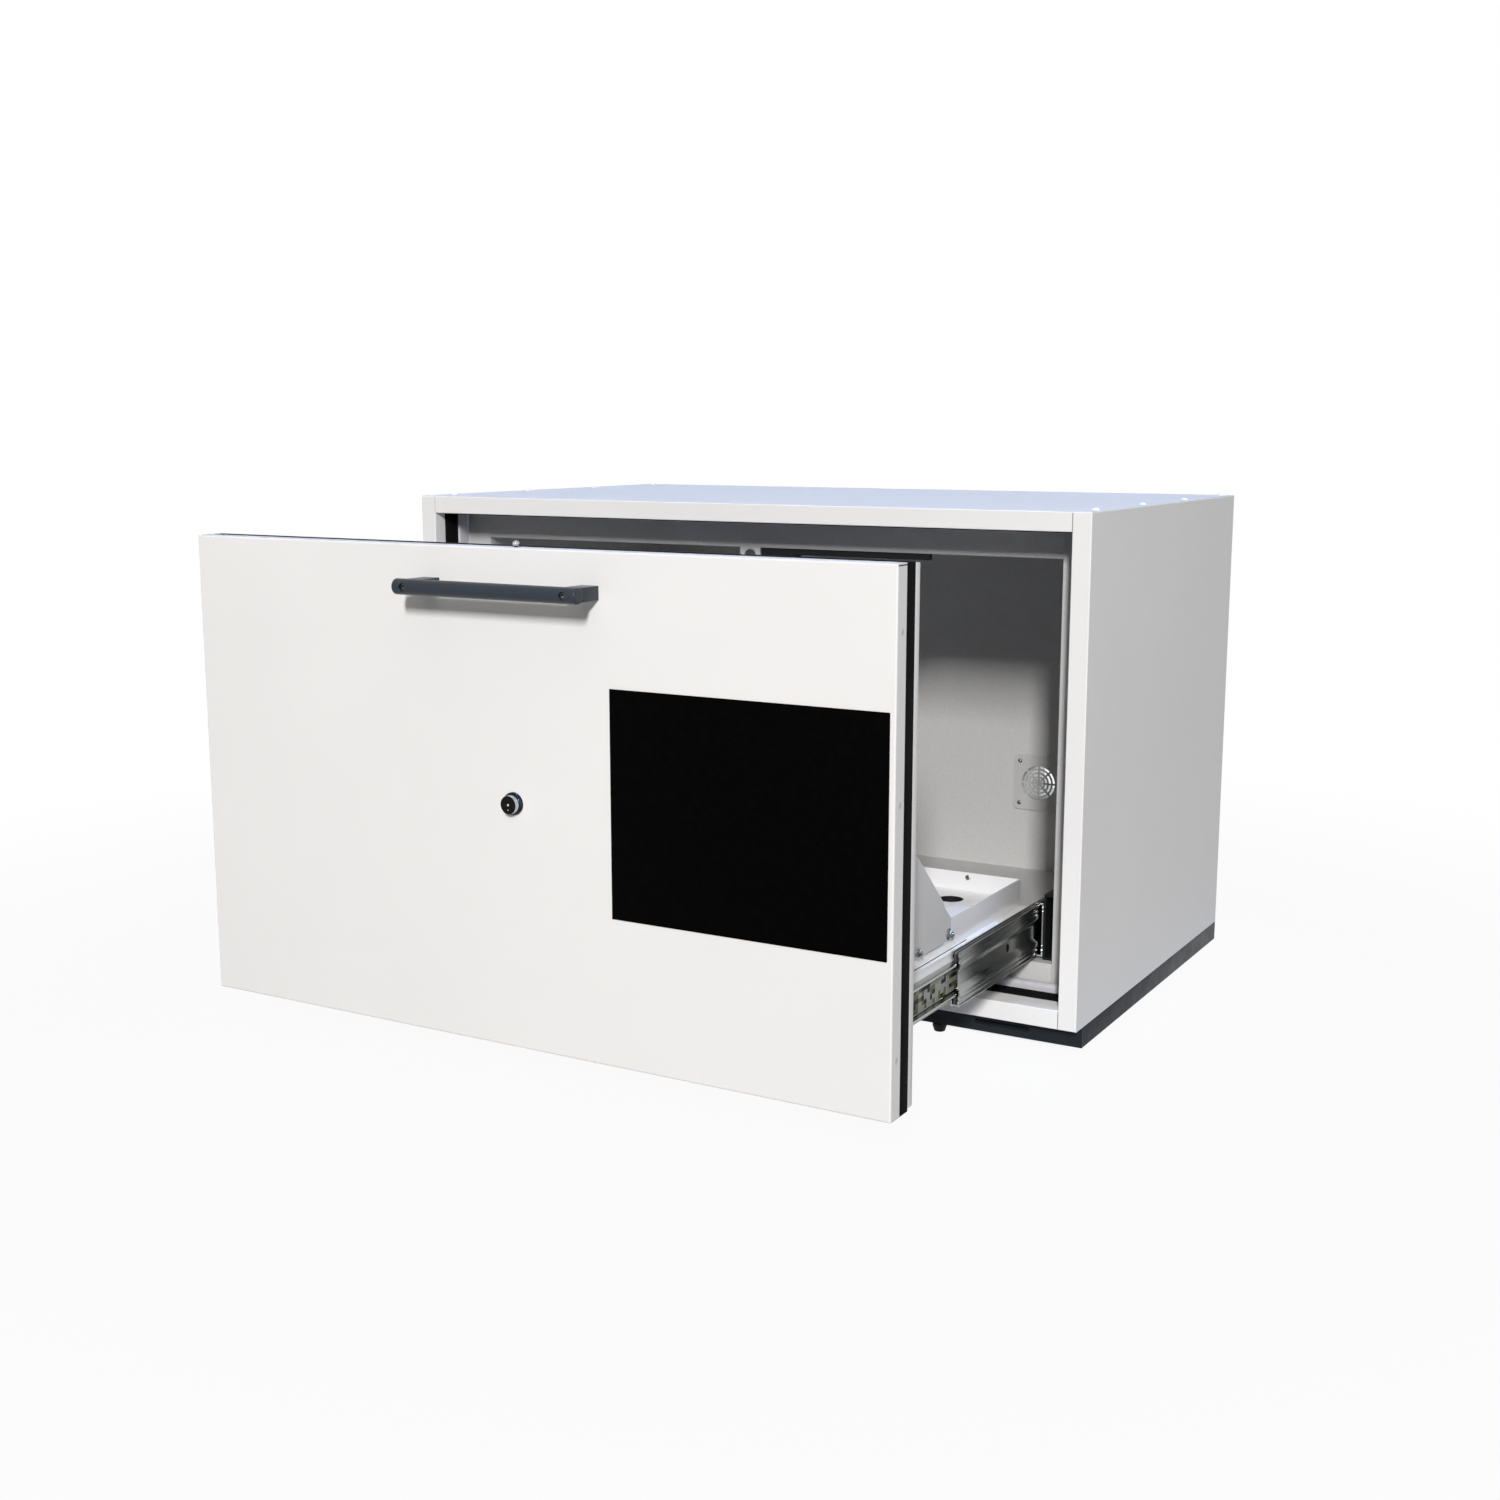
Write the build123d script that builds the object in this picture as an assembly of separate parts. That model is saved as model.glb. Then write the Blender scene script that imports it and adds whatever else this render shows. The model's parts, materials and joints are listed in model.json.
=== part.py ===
# Underbench fire-resistant storage cabinet with one wide drawer, shown pulled open.
# Frame: +X to the right seen from the front, +Y to the rear, +Z up. The floor is z = 0.
# The origin is under the middle of the whole box that the open cabinet fills.
import os

from build123d import *

# Cabinet body
carcass_width = 893.0
carcass_height = 563.5
carcass_depth = 531.0
plinth_height = 23.8
plinth_setback = 20.5
foot_height = 12.7
stile_width = 21.4
reveal_depth = 68.0
side_wall = 55.5
top_wall = 54.7
floor_wall = 51.5
back_wall = 46.0
sheet = 1.5
liner = 3.0
frame_board = 10.0
fold_round = 1.2
seal_width = 24.0
seal_thick = 2.0
gasket_width = 18.0
gasket_thick = 4.0
gasket_back = 7.4
low_strip_setback = 12.4
low_seal_width = 21.8
low_gasket_width = 12.0
low_gasket_height = 11.0

# Drawer front and how far it is pulled out
drawer_open = 406.6
drawer_side_gap = 6.6
drawer_level_gap = 6.85
skin_depth = 18.5
skin_round = 1.6
corner_gap = 0.8
core_depth = 36.0
front_depth = 47.6
inner_inset = 1.7
label_width = 296.0
label_height = 226.0
label_thick = 1.0
label_edge = 5.5
label_rise = 10.5

# Handle
handle_length = 220.0
handle_radius = 8.0
handle_stand = 38.0
handle_drop = 39.2
handle_flat = 3.8
handle_edge = 2.0
post_inset = 14.0
post_width = 20.0
post_height = 13.6
handle_bore = 4.0
handle_bore_depth = 5.0
handle_head_gap = 0.4
handle_head_length = 3.0
handle_shank = 2.0
handle_shank_end = 24.0

# Lock and lock bolt
lock_stand = 9.5
lock_outer = 9.4
lock_collar = 11.7
lock_collar_length = 4.0
lock_edge = 0.5
lock_wall = 0.9
lock_tail_gap = 1.5
lock_tail_radius = 5.0
cam_gap = 2.2
cam_thick = 2.0
cam_radius = 12.0
cam_offset = 6.0
pin_radius = 2.0
pin_length = 5.5
key_width = 2.0
key_height = 7.0
key_depth = 6.0
bolt_setback = 13.2
bolt_radius = 3.0
bolt_neck = 1.75
bolt_ball = 3.5
bolt_top_gap = 0.55
bolt_hole = 4.2
bolt_pocket = 6.0
bolt_pocket_depth = 14.0
rail_hole = 5.0
yoke_thick = 3.0
yoke_wall = 2.0
yoke_right = 4.0
yoke_low = 12.0
yoke_high = 20.0
yoke_slot_end = 1.5
yoke_slot_right = 2.5
yoke_play = 0.6
guide_half = 8.0
guide_fore = 7.2
guide_aft = 6.8
guide_height = 12.0
guide_low = 70.0
guide_top_gap = 24.0
pocket_left = 20.0
pocket_right = 16.0
pocket_low = 18.0
pocket_high = 40.0

# Drawer chassis, tray and gusset plates
slide_space = 33.0
chassis_back_gap = 2.6
chassis_drop = 26.5
ledge_height = 53.4
ledge_width = 9.0
cross_height = 10.0
cross_width = 40.0
cross_inset = 12.0
tray_wall = 1.5
tray_front_gap = 7.0
tray_back_gap = 2.5
tray_rise = 31.2
tray_depth = 21.6
insert_hole = 14.5
insert_hole_side = 64.5
insert_hole_back = 43.0
insert_gap = 0.4
gusset_thick = 2.0
gusset_overlap = 20.1
gusset_height = 241.5
gusset_tail = 20.5
gusset_length = 235.0
gusset_tab = 24.0
gusset_flange = 16.0
gusset_bolt_rise = 5.5
gusset_bolt_back = 8.0
gusset_bolt_pitch = 80.0
bolt_head = 4.6
bolt_head_length = 3.6
washer_radius = 6.2
washer_thick = 1.2
rivet_radius = 3.2
rivet_thick = 1.2
rivet_side = 62.5
rivet_drop = 6.0

# Telescopic slides, one each side
slide_floor_gap = 3.75
drawer_rail_height = 35.0
rail_play = 1.5
middle_height = 58.5
middle_back = 13.0
middle_front = 2.6
middle_gap = 11.7
middle_hole_back = 75.8
middle_back_gap = 4.7
slide_sheet = 1.5
joggle = 2.2
joggle_gap = 0.5
joggle_slope = 4.0
outer_gap = 0.5
outer_play = 2.5
outer_front = 7.0
outer_front_gap = 3.0
outer_back_gap = 6.0
bracket_rise = 41.5
bracket_thick = 2.5
bracket_foot = 12.0
cage_gap = 0.3
rail_back_gap = 5.8
rail_slot_length = 14.0
rail_slot_width = 5.0
rail_slot_pitch = 42.0

# Feet
foot_inset = 176.5
foot_front = 34.0
foot_back = 40.0
foot_radius = 8.3
foot_pad = 10.0
foot_round = 2.0
foot_stem = 4.0
foot_plate = 42.0
foot_plate_thick = 4.0
foot_boss = 8.0
foot_boss_length = 18.0
foot_top_gap = 1.0
slot_length = 66.0
slot_height = 6.0
slot_inset = 94.5
slot_drop = 12.8

# Air connections in the back wall
spigot_x = 210.0
spigot_height = 172.5
spigot_radius = 25.0
spigot_wall = 2.0
spigot_reach = 35.0
spigot_flange = 34.0
spigot_flange_thick = 2.0
grille_width = 72.0
grille_height = 76.0
grille_thick = 2.0
grille_round = 8.0
grille_core = 4.0
grille_slot = 3.4
grille_pitch = 5.4
grille_spoke = 2.4
grille_screw_inset = 9.0

# Screws and the catch under the ceiling
top_screw_inset = 14.0
top_screw_first = 50.0
top_screw_end = 11.0
top_screw_radius = 4.4
top_screw_head = 2.2
top_screw_round = 1.6
small_screw_radius = 3.0
small_screw_head = 1.4
reveal_screw_drop = 40.0
catch_left = -16.2
catch_right = 11.1
catch_drop = 10.0
catch_thick = 2.0
catch_depth = 20.0
catch_arc = 8.0
block_gap = 1.5
block_width = 45.0
strip_width = 174.0
strip_drop = 7.3
strip_depth = 9.0

# Clearance between curved faces that turn or slide in one another, and what counts as the same plane
clearance = 0.3
plane_play = 0.01

# Counts, turns and shares
quarter_turn = 90
side_signs = (-1, 1)
rings = 4
spokes = 8
top_screws = 4
gusset_bolts = 3
gasket_round_share = 0.9
middle_share = 0.5
hook_share = 0.55
diagonal_share = 2 ** 0.5

# Levels and planes that the rest is placed by
half_width = carcass_width / 2
front_y = (drawer_open + handle_stand + handle_radius - carcass_depth - spigot_reach) / 2
rear_y = front_y + carcass_depth
base_z = foot_height + plinth_height
top_z = base_z + carcass_height
open_x = half_width - stile_width
open_low = base_z + stile_width
open_high = top_z - stile_width
frame_y = front_y + reveal_depth
room_y = frame_y + frame_board
back_y = rear_y - back_wall
inner_x = half_width - side_wall
floor_z = base_z + floor_wall
ceiling_z = top_z - top_wall
face_y = front_y - drawer_open
face_back = face_y + front_depth
mid_z = base_z + carcass_height / 2
half_drawer = open_x - drawer_side_gap
drawer_top = open_high - drawer_level_gap
drawer_low = open_low + drawer_level_gap
bolt_y = face_y + bolt_setback
outer_half = middle_height / 2 + outer_gap + slide_sheet
slide_z = floor_z + slide_floor_gap + outer_half
chassis_half = inner_x - slide_space
chassis_length = back_y - chassis_back_gap - front_y - front_depth


def box(x, y, z):
    """A box between two bounds on each axis."""
    size = (x[1] - x[0], y[1] - y[0], z[1] - z[0])
    return Pos((x[0] + x[1]) / 2, (y[0] + y[1]) / 2, (z[0] + z[1]) / 2) * Box(*size)


def upright(x, y, z, radius):
    """A round bar along Z between two heights."""
    return Pos(x, y, (z[0] + z[1]) / 2) * Cylinder(radius, z[1] - z[0])


def lengthways(x, y, z, radius):
    """A round bar along Y between two depths."""
    turn = Rot(quarter_turn, 0, 0)
    return Pos(x, (y[0] + y[1]) / 2, z) * turn * Cylinder(radius, y[1] - y[0])


def crossways(x, y, z, radius):
    """A round bar along X between two sides."""
    turn = Rot(0, quarter_turn, 0)
    return Pos((x[0] + x[1]) / 2, y, z) * turn * Cylinder(radius, x[1] - x[0])


def flip(shape):
    """The same shape on the left."""
    return mirror(shape, about=Plane.YZ)


def along(points, y):
    """A section given as x and z points, drawn out along Y between two depths."""
    outline = Polyline(*[(px, y[0], pz) for px, pz in points], close=True)
    return extrude(make_face(outline), amount=y[1] - y[0], dir=(0, 1, 0))


def group(shapes):
    """Separate solids of one sub-part."""
    return Compound([solid for shape in shapes for solid in shape.solids()])


def pair(shape):
    """A right-hand solid and its left-hand twin."""
    return group([flip(shape), shape])


def edges_on(shape, x=None, y=None, z=None):
    """Edges of a shape whose middles lie in every plane that is given."""
    picked = shape.edges()
    for axis, place in ((Axis.X, x), (Axis.Y, y), (Axis.Z, z)):
        if place is not None:
            picked = picked.filter_by_position(axis, place - plane_play, place + plane_play)
    return picked


parts = {}

# Sheet-steel skins: each side panel folds round the front into a stile and a return
side_panel = box((half_width - sheet, half_width), (front_y, rear_y), (base_z, top_z))
stile = box((open_x, half_width - sheet), (front_y, front_y + sheet), (base_z, top_z))
stile_return = box((open_x, open_x + sheet), (front_y + sheet, room_y), (base_z + sheet, top_z - sheet))
right_skin = side_panel + stile + stile_return
folds = edges_on(right_skin, x=half_width, y=front_y) + edges_on(right_skin, x=open_x, y=front_y)
folds = folds + edges_on(right_skin, y=front_y, z=top_z) + edges_on(right_skin, y=front_y, z=base_z)
folds = folds + edges_on(right_skin, x=half_width, z=top_z)
right_skin = fillet(folds, fold_round)
parts["right_side_skin"] = right_skin
parts["left_side_skin"] = flip(right_skin)

# Top and bottom panels, each with a front rail between the stiles
panel_x = half_width - sheet
top_panel = box((-panel_x, panel_x), (front_y + sheet, rear_y), (top_z - sheet, top_z))
top_rail = box((-open_x, open_x), (front_y, front_y + sheet), (open_high, top_z))
top_return = box((-open_x, open_x), (front_y + sheet, room_y), (open_high, open_high + sheet))
bolt_way = upright(0, front_y + bolt_setback, (open_high - sheet, open_high + sheet * 2), rail_hole)
top_skin = top_panel + top_rail + top_return
folds = edges_on(top_skin, y=front_y, z=top_z) + edges_on(top_skin, y=front_y, z=open_high)
parts["top_skin"] = fillet(folds, fold_round) - bolt_way
low_panel = box((-panel_x, panel_x), (front_y + sheet, rear_y), (base_z, base_z + sheet))
low_rail = box((-open_x, open_x), (front_y, front_y + sheet), (base_z, open_low))
low_return = box((-open_x, open_x), (front_y + sheet, room_y), (open_low - sheet, open_low))
bottom_skin = low_panel + low_rail + low_return
folds = edges_on(bottom_skin, y=front_y, z=base_z) + edges_on(bottom_skin, y=front_y, z=open_low)
parts["bottom_skin"] = fillet(folds, fold_round)

# Back panel, back board and back lining, with a round way through for each air connection
air_z = base_z + spigot_height
air_way = lengthways(spigot_x, (back_y - liner, rear_y + liner), air_z, spigot_radius + clearance)
air_ways = pair(air_way)
back_skin = box((-panel_x, panel_x), (rear_y - sheet, rear_y), (base_z + sheet, top_z - sheet))
parts["back_skin"] = back_skin - air_ways
board_x = inner_x + liner
back_board = box((-board_x, board_x), (back_y + liner, rear_y - sheet), (floor_z - liner, ceiling_z + liner))
parts["back_board"] = back_board - air_ways
back_liner = box((-inner_x, inner_x), (back_y, back_y + liner), (floor_z, ceiling_z))
parts["back_liner"] = back_liner - air_ways

# Insulating boards in the other walls
side_board = box((board_x, panel_x), (room_y, rear_y - sheet), (base_z + sheet, top_z - sheet))
parts["side_boards"] = pair(side_board)
top_board = box((-board_x, board_x), (room_y, rear_y - sheet), (ceiling_z + liner, top_z - sheet))
low_board = box((-board_x, board_x), (room_y, rear_y - sheet), (base_z + sheet, floor_z - liner))
parts["level_boards"] = group([low_board, top_board])

# Grey lining of the storage space
side_liner = box((inner_x, board_x), (room_y, back_y + liner), (floor_z - liner, ceiling_z + liner))
parts["side_liners"] = pair(side_liner)
top_liner = box((-inner_x, inner_x), (room_y, back_y + liner), (ceiling_z, ceiling_z + liner))
low_liner = box((-inner_x, inner_x), (room_y, back_y + liner), (floor_z - liner, floor_z))
parts["level_liners"] = group([low_liner, top_liner])

# Insulation inside the folded stiles and rails
stile_fill = box((open_x + sheet, panel_x), (front_y + sheet, room_y), (base_z + sheet, top_z - sheet))
parts["stile_fills"] = pair(stile_fill)
top_fill = box((-open_x, open_x), (front_y + sheet, room_y), (open_high + sheet, top_z - sheet))
pocket_z = (open_high, open_high + sheet + bolt_pocket_depth)
top_fill = top_fill - upright(0, front_y + bolt_setback, pocket_z, bolt_pocket)
low_fill = box((-open_x, open_x), (front_y + sheet, room_y), (base_z + sheet, open_low - sheet))
parts["rail_fills"] = group([low_fill, top_fill])

# Inner frame at the back of the reveal
frame_stile = box((inner_x, open_x), (frame_y, room_y), (open_low, open_high))
parts["inner_frame_stiles"] = pair(frame_stile)
frame_top = box((-inner_x, inner_x), (frame_y, room_y), (ceiling_z, open_high))
frame_low = box((-inner_x, inner_x), (frame_y, room_y), (open_low, floor_z))
parts["inner_frame_rails"] = group([frame_low, frame_top])

# Black swelling seal strips laid round the reveal
gasket_y = (frame_y - gasket_back - gasket_width, frame_y - gasket_back)
seal_y = (gasket_y[0] - seal_width, gasket_y[0])
seal_side = box((open_x - seal_thick, open_x), seal_y, (open_low, open_high))
parts["reveal_seal_sides"] = pair(seal_side)
seal_x = open_x - seal_thick
seal_top = box((-seal_x, seal_x), seal_y, (open_high - seal_thick, open_high))
gasket_x = open_x - gasket_thick
seal_low_start = seal_y[0] + low_strip_setback
seal_low_y = (seal_low_start, seal_low_start + low_seal_width)
seal_low = box((-gasket_x, gasket_x), seal_low_y, (open_low, open_low + seal_thick))
parts["reveal_seal_rails"] = group([seal_low, seal_top])

# Pale rounded smoke gaskets behind them
gasket_round = gasket_thick * gasket_round_share
gasket_side = box((open_x - gasket_thick, open_x), gasket_y, (open_low, open_high))
rounded = gasket_side.edges().filter_by(Axis.Z).group_by(Axis.X)[0]
parts["gasket_sides"] = pair(fillet(rounded, gasket_round))
gasket_top = box((-gasket_x, gasket_x), gasket_y, (open_high - gasket_thick, open_high))
rounded = gasket_top.edges().filter_by(Axis.X).group_by(Axis.Z)[0]
gasket_top = fillet(rounded, gasket_round)
gasket_low_y = (seal_low_y[1], seal_low_y[1] + low_gasket_width)
gasket_low = box((-gasket_x, gasket_x), gasket_low_y, (open_low, open_low + low_gasket_height))
rounded = gasket_low.edges().filter_by(Axis.X).group_by(Axis.Z)[-1]
gasket_low = fillet(rounded, low_gasket_width / 2 * gasket_round_share)
parts["gasket_rails"] = group([gasket_low, gasket_top])

# Plinth: a set-back front with two long slots, two sides and a rear
plinth_z = (foot_height, base_z)
plinth_y = front_y + plinth_setback
plinth_in = plinth_y + sheet
slot_x = half_width - slot_inset
slot_z = base_z - slot_drop
slot_reach = slot_length / 2 - slot_height / 2
slot_y = (plinth_y - sheet, plinth_in + sheet)
slot_level = (slot_z - slot_height / 2, slot_z + slot_height / 2)
slot_box = box((slot_x - slot_reach, slot_x + slot_reach), slot_y, slot_level)
slot_near = lengthways(slot_x - slot_reach, slot_y, slot_z, slot_height / 2)
slot_far = lengthways(slot_x + slot_reach, slot_y, slot_z, slot_height / 2)
plinth_slot = slot_box + slot_near + slot_far
plinth_front = box((-half_width, half_width), (plinth_y, plinth_in), plinth_z)
parts["plinth_front"] = plinth_front - plinth_slot - flip(plinth_slot)
plinth_side = box((panel_x, half_width), (plinth_in, rear_y), plinth_z)
parts["plinth_sides"] = pair(plinth_side)
parts["plinth_rear"] = box((-panel_x, panel_x), (rear_y - sheet, rear_y), plinth_z)

# Levelling feet: a pad and a stem that screws into a boss plate under the floor
foot_x = half_width - foot_inset
foot_rows = {"front": front_y + foot_front, "rear": rear_y - foot_back}
plates = []
for row, foot_y in foot_rows.items():
    pad = upright(foot_x, foot_y, (0, foot_pad), foot_radius)
    pad = fillet(pad.edges().group_by(Axis.Z)[0], foot_round)
    stem = upright(foot_x, foot_y, (foot_pad, base_z - foot_top_gap), foot_stem)
    parts["foot_" + row + "_right"] = pad + stem
    parts["foot_" + row + "_left"] = flip(pad + stem)
    plate_x = (foot_x - foot_plate / 2, foot_x + foot_plate / 2)
    plate_y = (foot_y - foot_boss - clearance, foot_y + foot_plate / 2)
    plate = box(plate_x, plate_y, (base_z - foot_plate_thick, base_z))
    boss = upright(foot_x, foot_y, (base_z - foot_boss_length, base_z - foot_plate_thick), foot_boss)
    thread = upright(foot_x, foot_y, (foot_height, base_z + sheet), foot_stem + clearance)
    plates.append(pair(plate + boss - thread))
parts["foot_plates"] = group(plates)

# Air connections: a flanged spigot through the back wall and a slotted grille over its inner end
tube = lengthways(spigot_x, (back_y, rear_y + spigot_reach), air_z, spigot_radius)
flange = lengthways(spigot_x, (rear_y, rear_y + spigot_flange_thick), air_z, spigot_flange)
hollow_y = (back_y - liner, rear_y + spigot_reach + liner)
hollow = lengthways(spigot_x, hollow_y, air_z, spigot_radius - spigot_wall)
spigot = tube + flange - hollow
parts["right_air_spigot"] = spigot
parts["left_air_spigot"] = flip(spigot)
grille_y = (back_y - grille_thick, back_y)
grille_x = (spigot_x - grille_width / 2, spigot_x + grille_width / 2)
grille_z = (air_z - grille_height / 2, air_z + grille_height / 2)
grille = box(grille_x, grille_y, grille_z)
grille = fillet(grille.edges().filter_by(Axis.Y), grille_round)
cut_y = (grille_y[0] - grille_thick, grille_y[1] + grille_thick)
slots = []
for ring in range(rings):
    inner_r = grille_core + ring * grille_pitch
    outer_cut = lengthways(spigot_x, cut_y, air_z, inner_r + grille_slot)
    slots.append(outer_cut - lengthways(spigot_x, cut_y, air_z, inner_r))
reach = grille_core + rings * grille_pitch
bar = Box(reach * 2, cut_y[1] - cut_y[0], grille_spoke)
cut_mid = (cut_y[0] + cut_y[1]) / 2
for spoke in range(spokes // 2):
    turned = Pos(spigot_x, cut_mid, air_z) * Rot(0, spoke * 2 * quarter_turn / (spokes / 2), 0) * bar
    slots = [slot - turned for slot in slots]
for slot in slots:
    grille = grille - slot
parts["air_grilles"] = pair(grille)

# Screw heads: along the top edges, on the grilles and in the reveal
heads = []
for place in range(top_screws):
    step = (carcass_depth - top_screw_first - top_screw_end) / (top_screws - 1)
    spot_y = front_y + top_screw_first + step * place
    head = upright(half_width - top_screw_inset, spot_y, (top_z, top_z + top_screw_head), top_screw_radius)
    heads.append(pair(fillet(head.edges().group_by(Axis.Z)[-1], top_screw_round)))
for side in side_signs:
    for level in side_signs:
        spot_x = spigot_x + side * (grille_width / 2 - grille_screw_inset)
        spot_z = air_z + level * (grille_height / 2 - grille_screw_inset)
        head_y = (grille_y[0] - small_screw_head, grille_y[0])
        heads.append(pair(lengthways(spot_x, head_y, spot_z, small_screw_radius)))
reveal_screw_y = (front_y + seal_y[0]) / 2
for spot_z in (open_low + reveal_screw_drop, open_high - reveal_screw_drop):
    head_x = (open_x - small_screw_head, open_x)
    heads.append(pair(crossways(head_x, reveal_screw_y, spot_z, small_screw_radius)))
parts["cabinet_screws"] = group(heads)

# Catch under the inner frame: a bent plate with an arched cut-out, a dark block beside it and a low strip
catch_y = frame_y
plate = box((catch_left, catch_right), (catch_y, catch_y + catch_thick), (ceiling_z - catch_drop, ceiling_z))
arch_x = (catch_left + catch_right) / 2
arch_y = (catch_y - catch_thick, catch_y + catch_thick * 2)
arch = lengthways(arch_x, arch_y, ceiling_z - catch_drop, catch_arc)
tab_y = (catch_y + catch_thick, catch_y + catch_depth)
tab = box((catch_left, catch_right), tab_y, (ceiling_z - catch_thick, ceiling_z))
parts["catch_bracket"] = plate - arch + tab
block_x = (catch_right + block_gap, catch_right + block_gap + block_width)
block = box(block_x, (catch_y, catch_y + catch_depth), (ceiling_z - catch_drop, ceiling_z))
strip_x = (block_x[1], block_x[1] + strip_width)
strip = box(strip_x, (catch_y, catch_y + strip_depth), (ceiling_z - strip_drop, ceiling_z))
parts["catch_block"] = block + strip

# Slide brackets: an upright on the floor and against the side wall that carries the fixed slide member
outer_y = (room_y + outer_front_gap, back_y - outer_back_gap)
web_x = chassis_half + middle_back + outer_play + slide_sheet
bracket_top = slide_z + bracket_rise
bracket = box((web_x, web_x + bracket_thick), outer_y, (floor_z, bracket_top))
shelf_x = (web_x + bracket_thick, inner_x)
bracket = bracket + box(shelf_x, outer_y, (bracket_top - bracket_thick, bracket_top))
bracket = bracket + box(shelf_x, outer_y, (floor_z, floor_z + bracket_thick))
wall_tab_z = (bracket_top, bracket_top + bracket_foot)
bracket = bracket + box((inner_x - bracket_thick, inner_x), outer_y, wall_tab_z)
parts["slide_brackets"] = pair(bracket)

# Fixed slide member: a channel that opens towards the drawer
outer_web = box((web_x - slide_sheet, web_x), outer_y, (slide_z - outer_half, slide_z + outer_half))
channel = outer_web
for level in side_signs:
    edge = slide_z + level * outer_half
    inner_edge = edge - level * slide_sheet
    lip_z = (min(edge, inner_edge), max(edge, inner_edge))
    channel = channel + box((chassis_half + outer_front, web_x - slide_sheet), outer_y, lip_z)
parts["slide_outer_members"] = pair(channel)

# Middle slide member: a web with a pressed groove, and hooked ball races along both edges
middle_way = drawer_open * middle_share
middle_y = (front_y + front_depth + middle_gap - middle_way, back_y - middle_back_gap - middle_way)
half_middle = middle_height / 2
half_rail = drawer_rail_height / 2
joggle_half = half_rail - joggle_slope - joggle_gap
race_far = half_middle - slide_sheet
race_near = half_rail + cage_gap
mx = chassis_half + middle_back
hook_x = chassis_half + middle_front
web_points = [
    (mx - slide_sheet, slide_z - half_middle),
    (mx, slide_z - half_middle),
    (mx, slide_z - joggle_half - joggle_slope),
    (mx - joggle, slide_z - joggle_half),
    (mx - joggle, slide_z + joggle_half),
    (mx, slide_z + joggle_half + joggle_slope),
    (mx, slide_z + half_middle),
    (mx - slide_sheet, slide_z + half_middle),
    (mx - slide_sheet, slide_z + joggle_half + joggle_slope),
    (mx - joggle - slide_sheet, slide_z + joggle_half),
    (mx - joggle - slide_sheet, slide_z - joggle_half),
    (mx - slide_sheet, slide_z - joggle_half - joggle_slope),
]
middle = along(web_points, middle_y)
for level in side_signs:
    edge = slide_z + level * half_middle
    inner_edge = edge - level * slide_sheet
    lip_z = (min(edge, inner_edge), max(edge, inner_edge))
    middle = middle + box((hook_x, mx - slide_sheet), middle_y, lip_z)
    hook_edge = inner_edge - level * (race_far - race_near) * hook_share
    hook_z = (min(inner_edge, hook_edge), max(inner_edge, hook_edge))
    middle = middle + box((hook_x, hook_x + slide_sheet), middle_y, hook_z)
hole_y = (middle_y[0] + middle_y[1]) / 2 - middle_hole_back
hole_x = (mx - joggle - slide_sheet * 2, mx)
middle = middle - crossways(hole_x, hole_y, slide_z, rail_slot_width)
parts["slide_middle_right"] = middle
parts["slide_middle_left"] = flip(middle)

# Ball cages: strips held in the races of the middle member
cages = []
for level in side_signs:
    cage_low = min(level * race_far, level * race_near)
    cage_high = max(level * race_far, level * race_near)
    cage_x = (hook_x + slide_sheet, mx - joggle - slide_sheet)
    cages.append(box(cage_x, middle_y, (slide_z + cage_low, slide_z + cage_high)))
parts["ball_cages_right"] = group(cages)
parts["ball_cages_left"] = flip(group(cages))

# Drawer slide member: a channel with a row of slots, screwed to the chassis side
rail_length = chassis_length - rail_back_gap
rail_y = (face_back, face_back + rail_length)
rail_slots = int(rail_length // rail_slot_pitch) - 1
rail_reach = chassis_half + middle_back - slide_sheet - rail_play
rail_x = (chassis_half, chassis_half + slide_sheet)
rail = box(rail_x, rail_y, (slide_z - half_rail, slide_z + half_rail))
for level in side_signs:
    edge = slide_z + level * half_rail
    inner_edge = edge - level * slide_sheet
    lip_z = (min(edge, inner_edge), max(edge, inner_edge))
    rail = rail + box((chassis_half + slide_sheet, rail_reach), rail_y, lip_z)
for place in range(rail_slots):
    slot_mid = face_back + rail_slot_pitch * (place + 1)
    slot_span = (slot_mid - rail_slot_length / 2, slot_mid + rail_slot_length / 2)
    slot_level = (slide_z - rail_slot_width / 2, slide_z + rail_slot_width / 2)
    rail = rail - box((chassis_half - sheet, chassis_half + slide_sheet * 2), slot_span, slot_level)
parts["slide_drawer_members"] = pair(rail)

# Drawer chassis: folded sides with a ledge, and two cross bars under the tray
chassis_y = (face_back, face_back + chassis_length)
low_z = slide_z - chassis_drop
ledge_z = low_z + ledge_height
side = box((chassis_half - sheet, chassis_half), chassis_y, (low_z, ledge_z))
ledge = box((chassis_half - ledge_width, chassis_half - sheet), chassis_y, (ledge_z - sheet, ledge_z))
parts["chassis_sides"] = pair(side + ledge)
cross_x = chassis_half - sheet
cross_z = (low_z, low_z + cross_height)
bars = []
for start in (chassis_y[0] + cross_inset, chassis_y[1] - cross_inset - cross_width):
    bars.append(box((-cross_x, cross_x), (start, start + cross_width), cross_z))
parts["chassis_cross_bars"] = group(bars)

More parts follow.
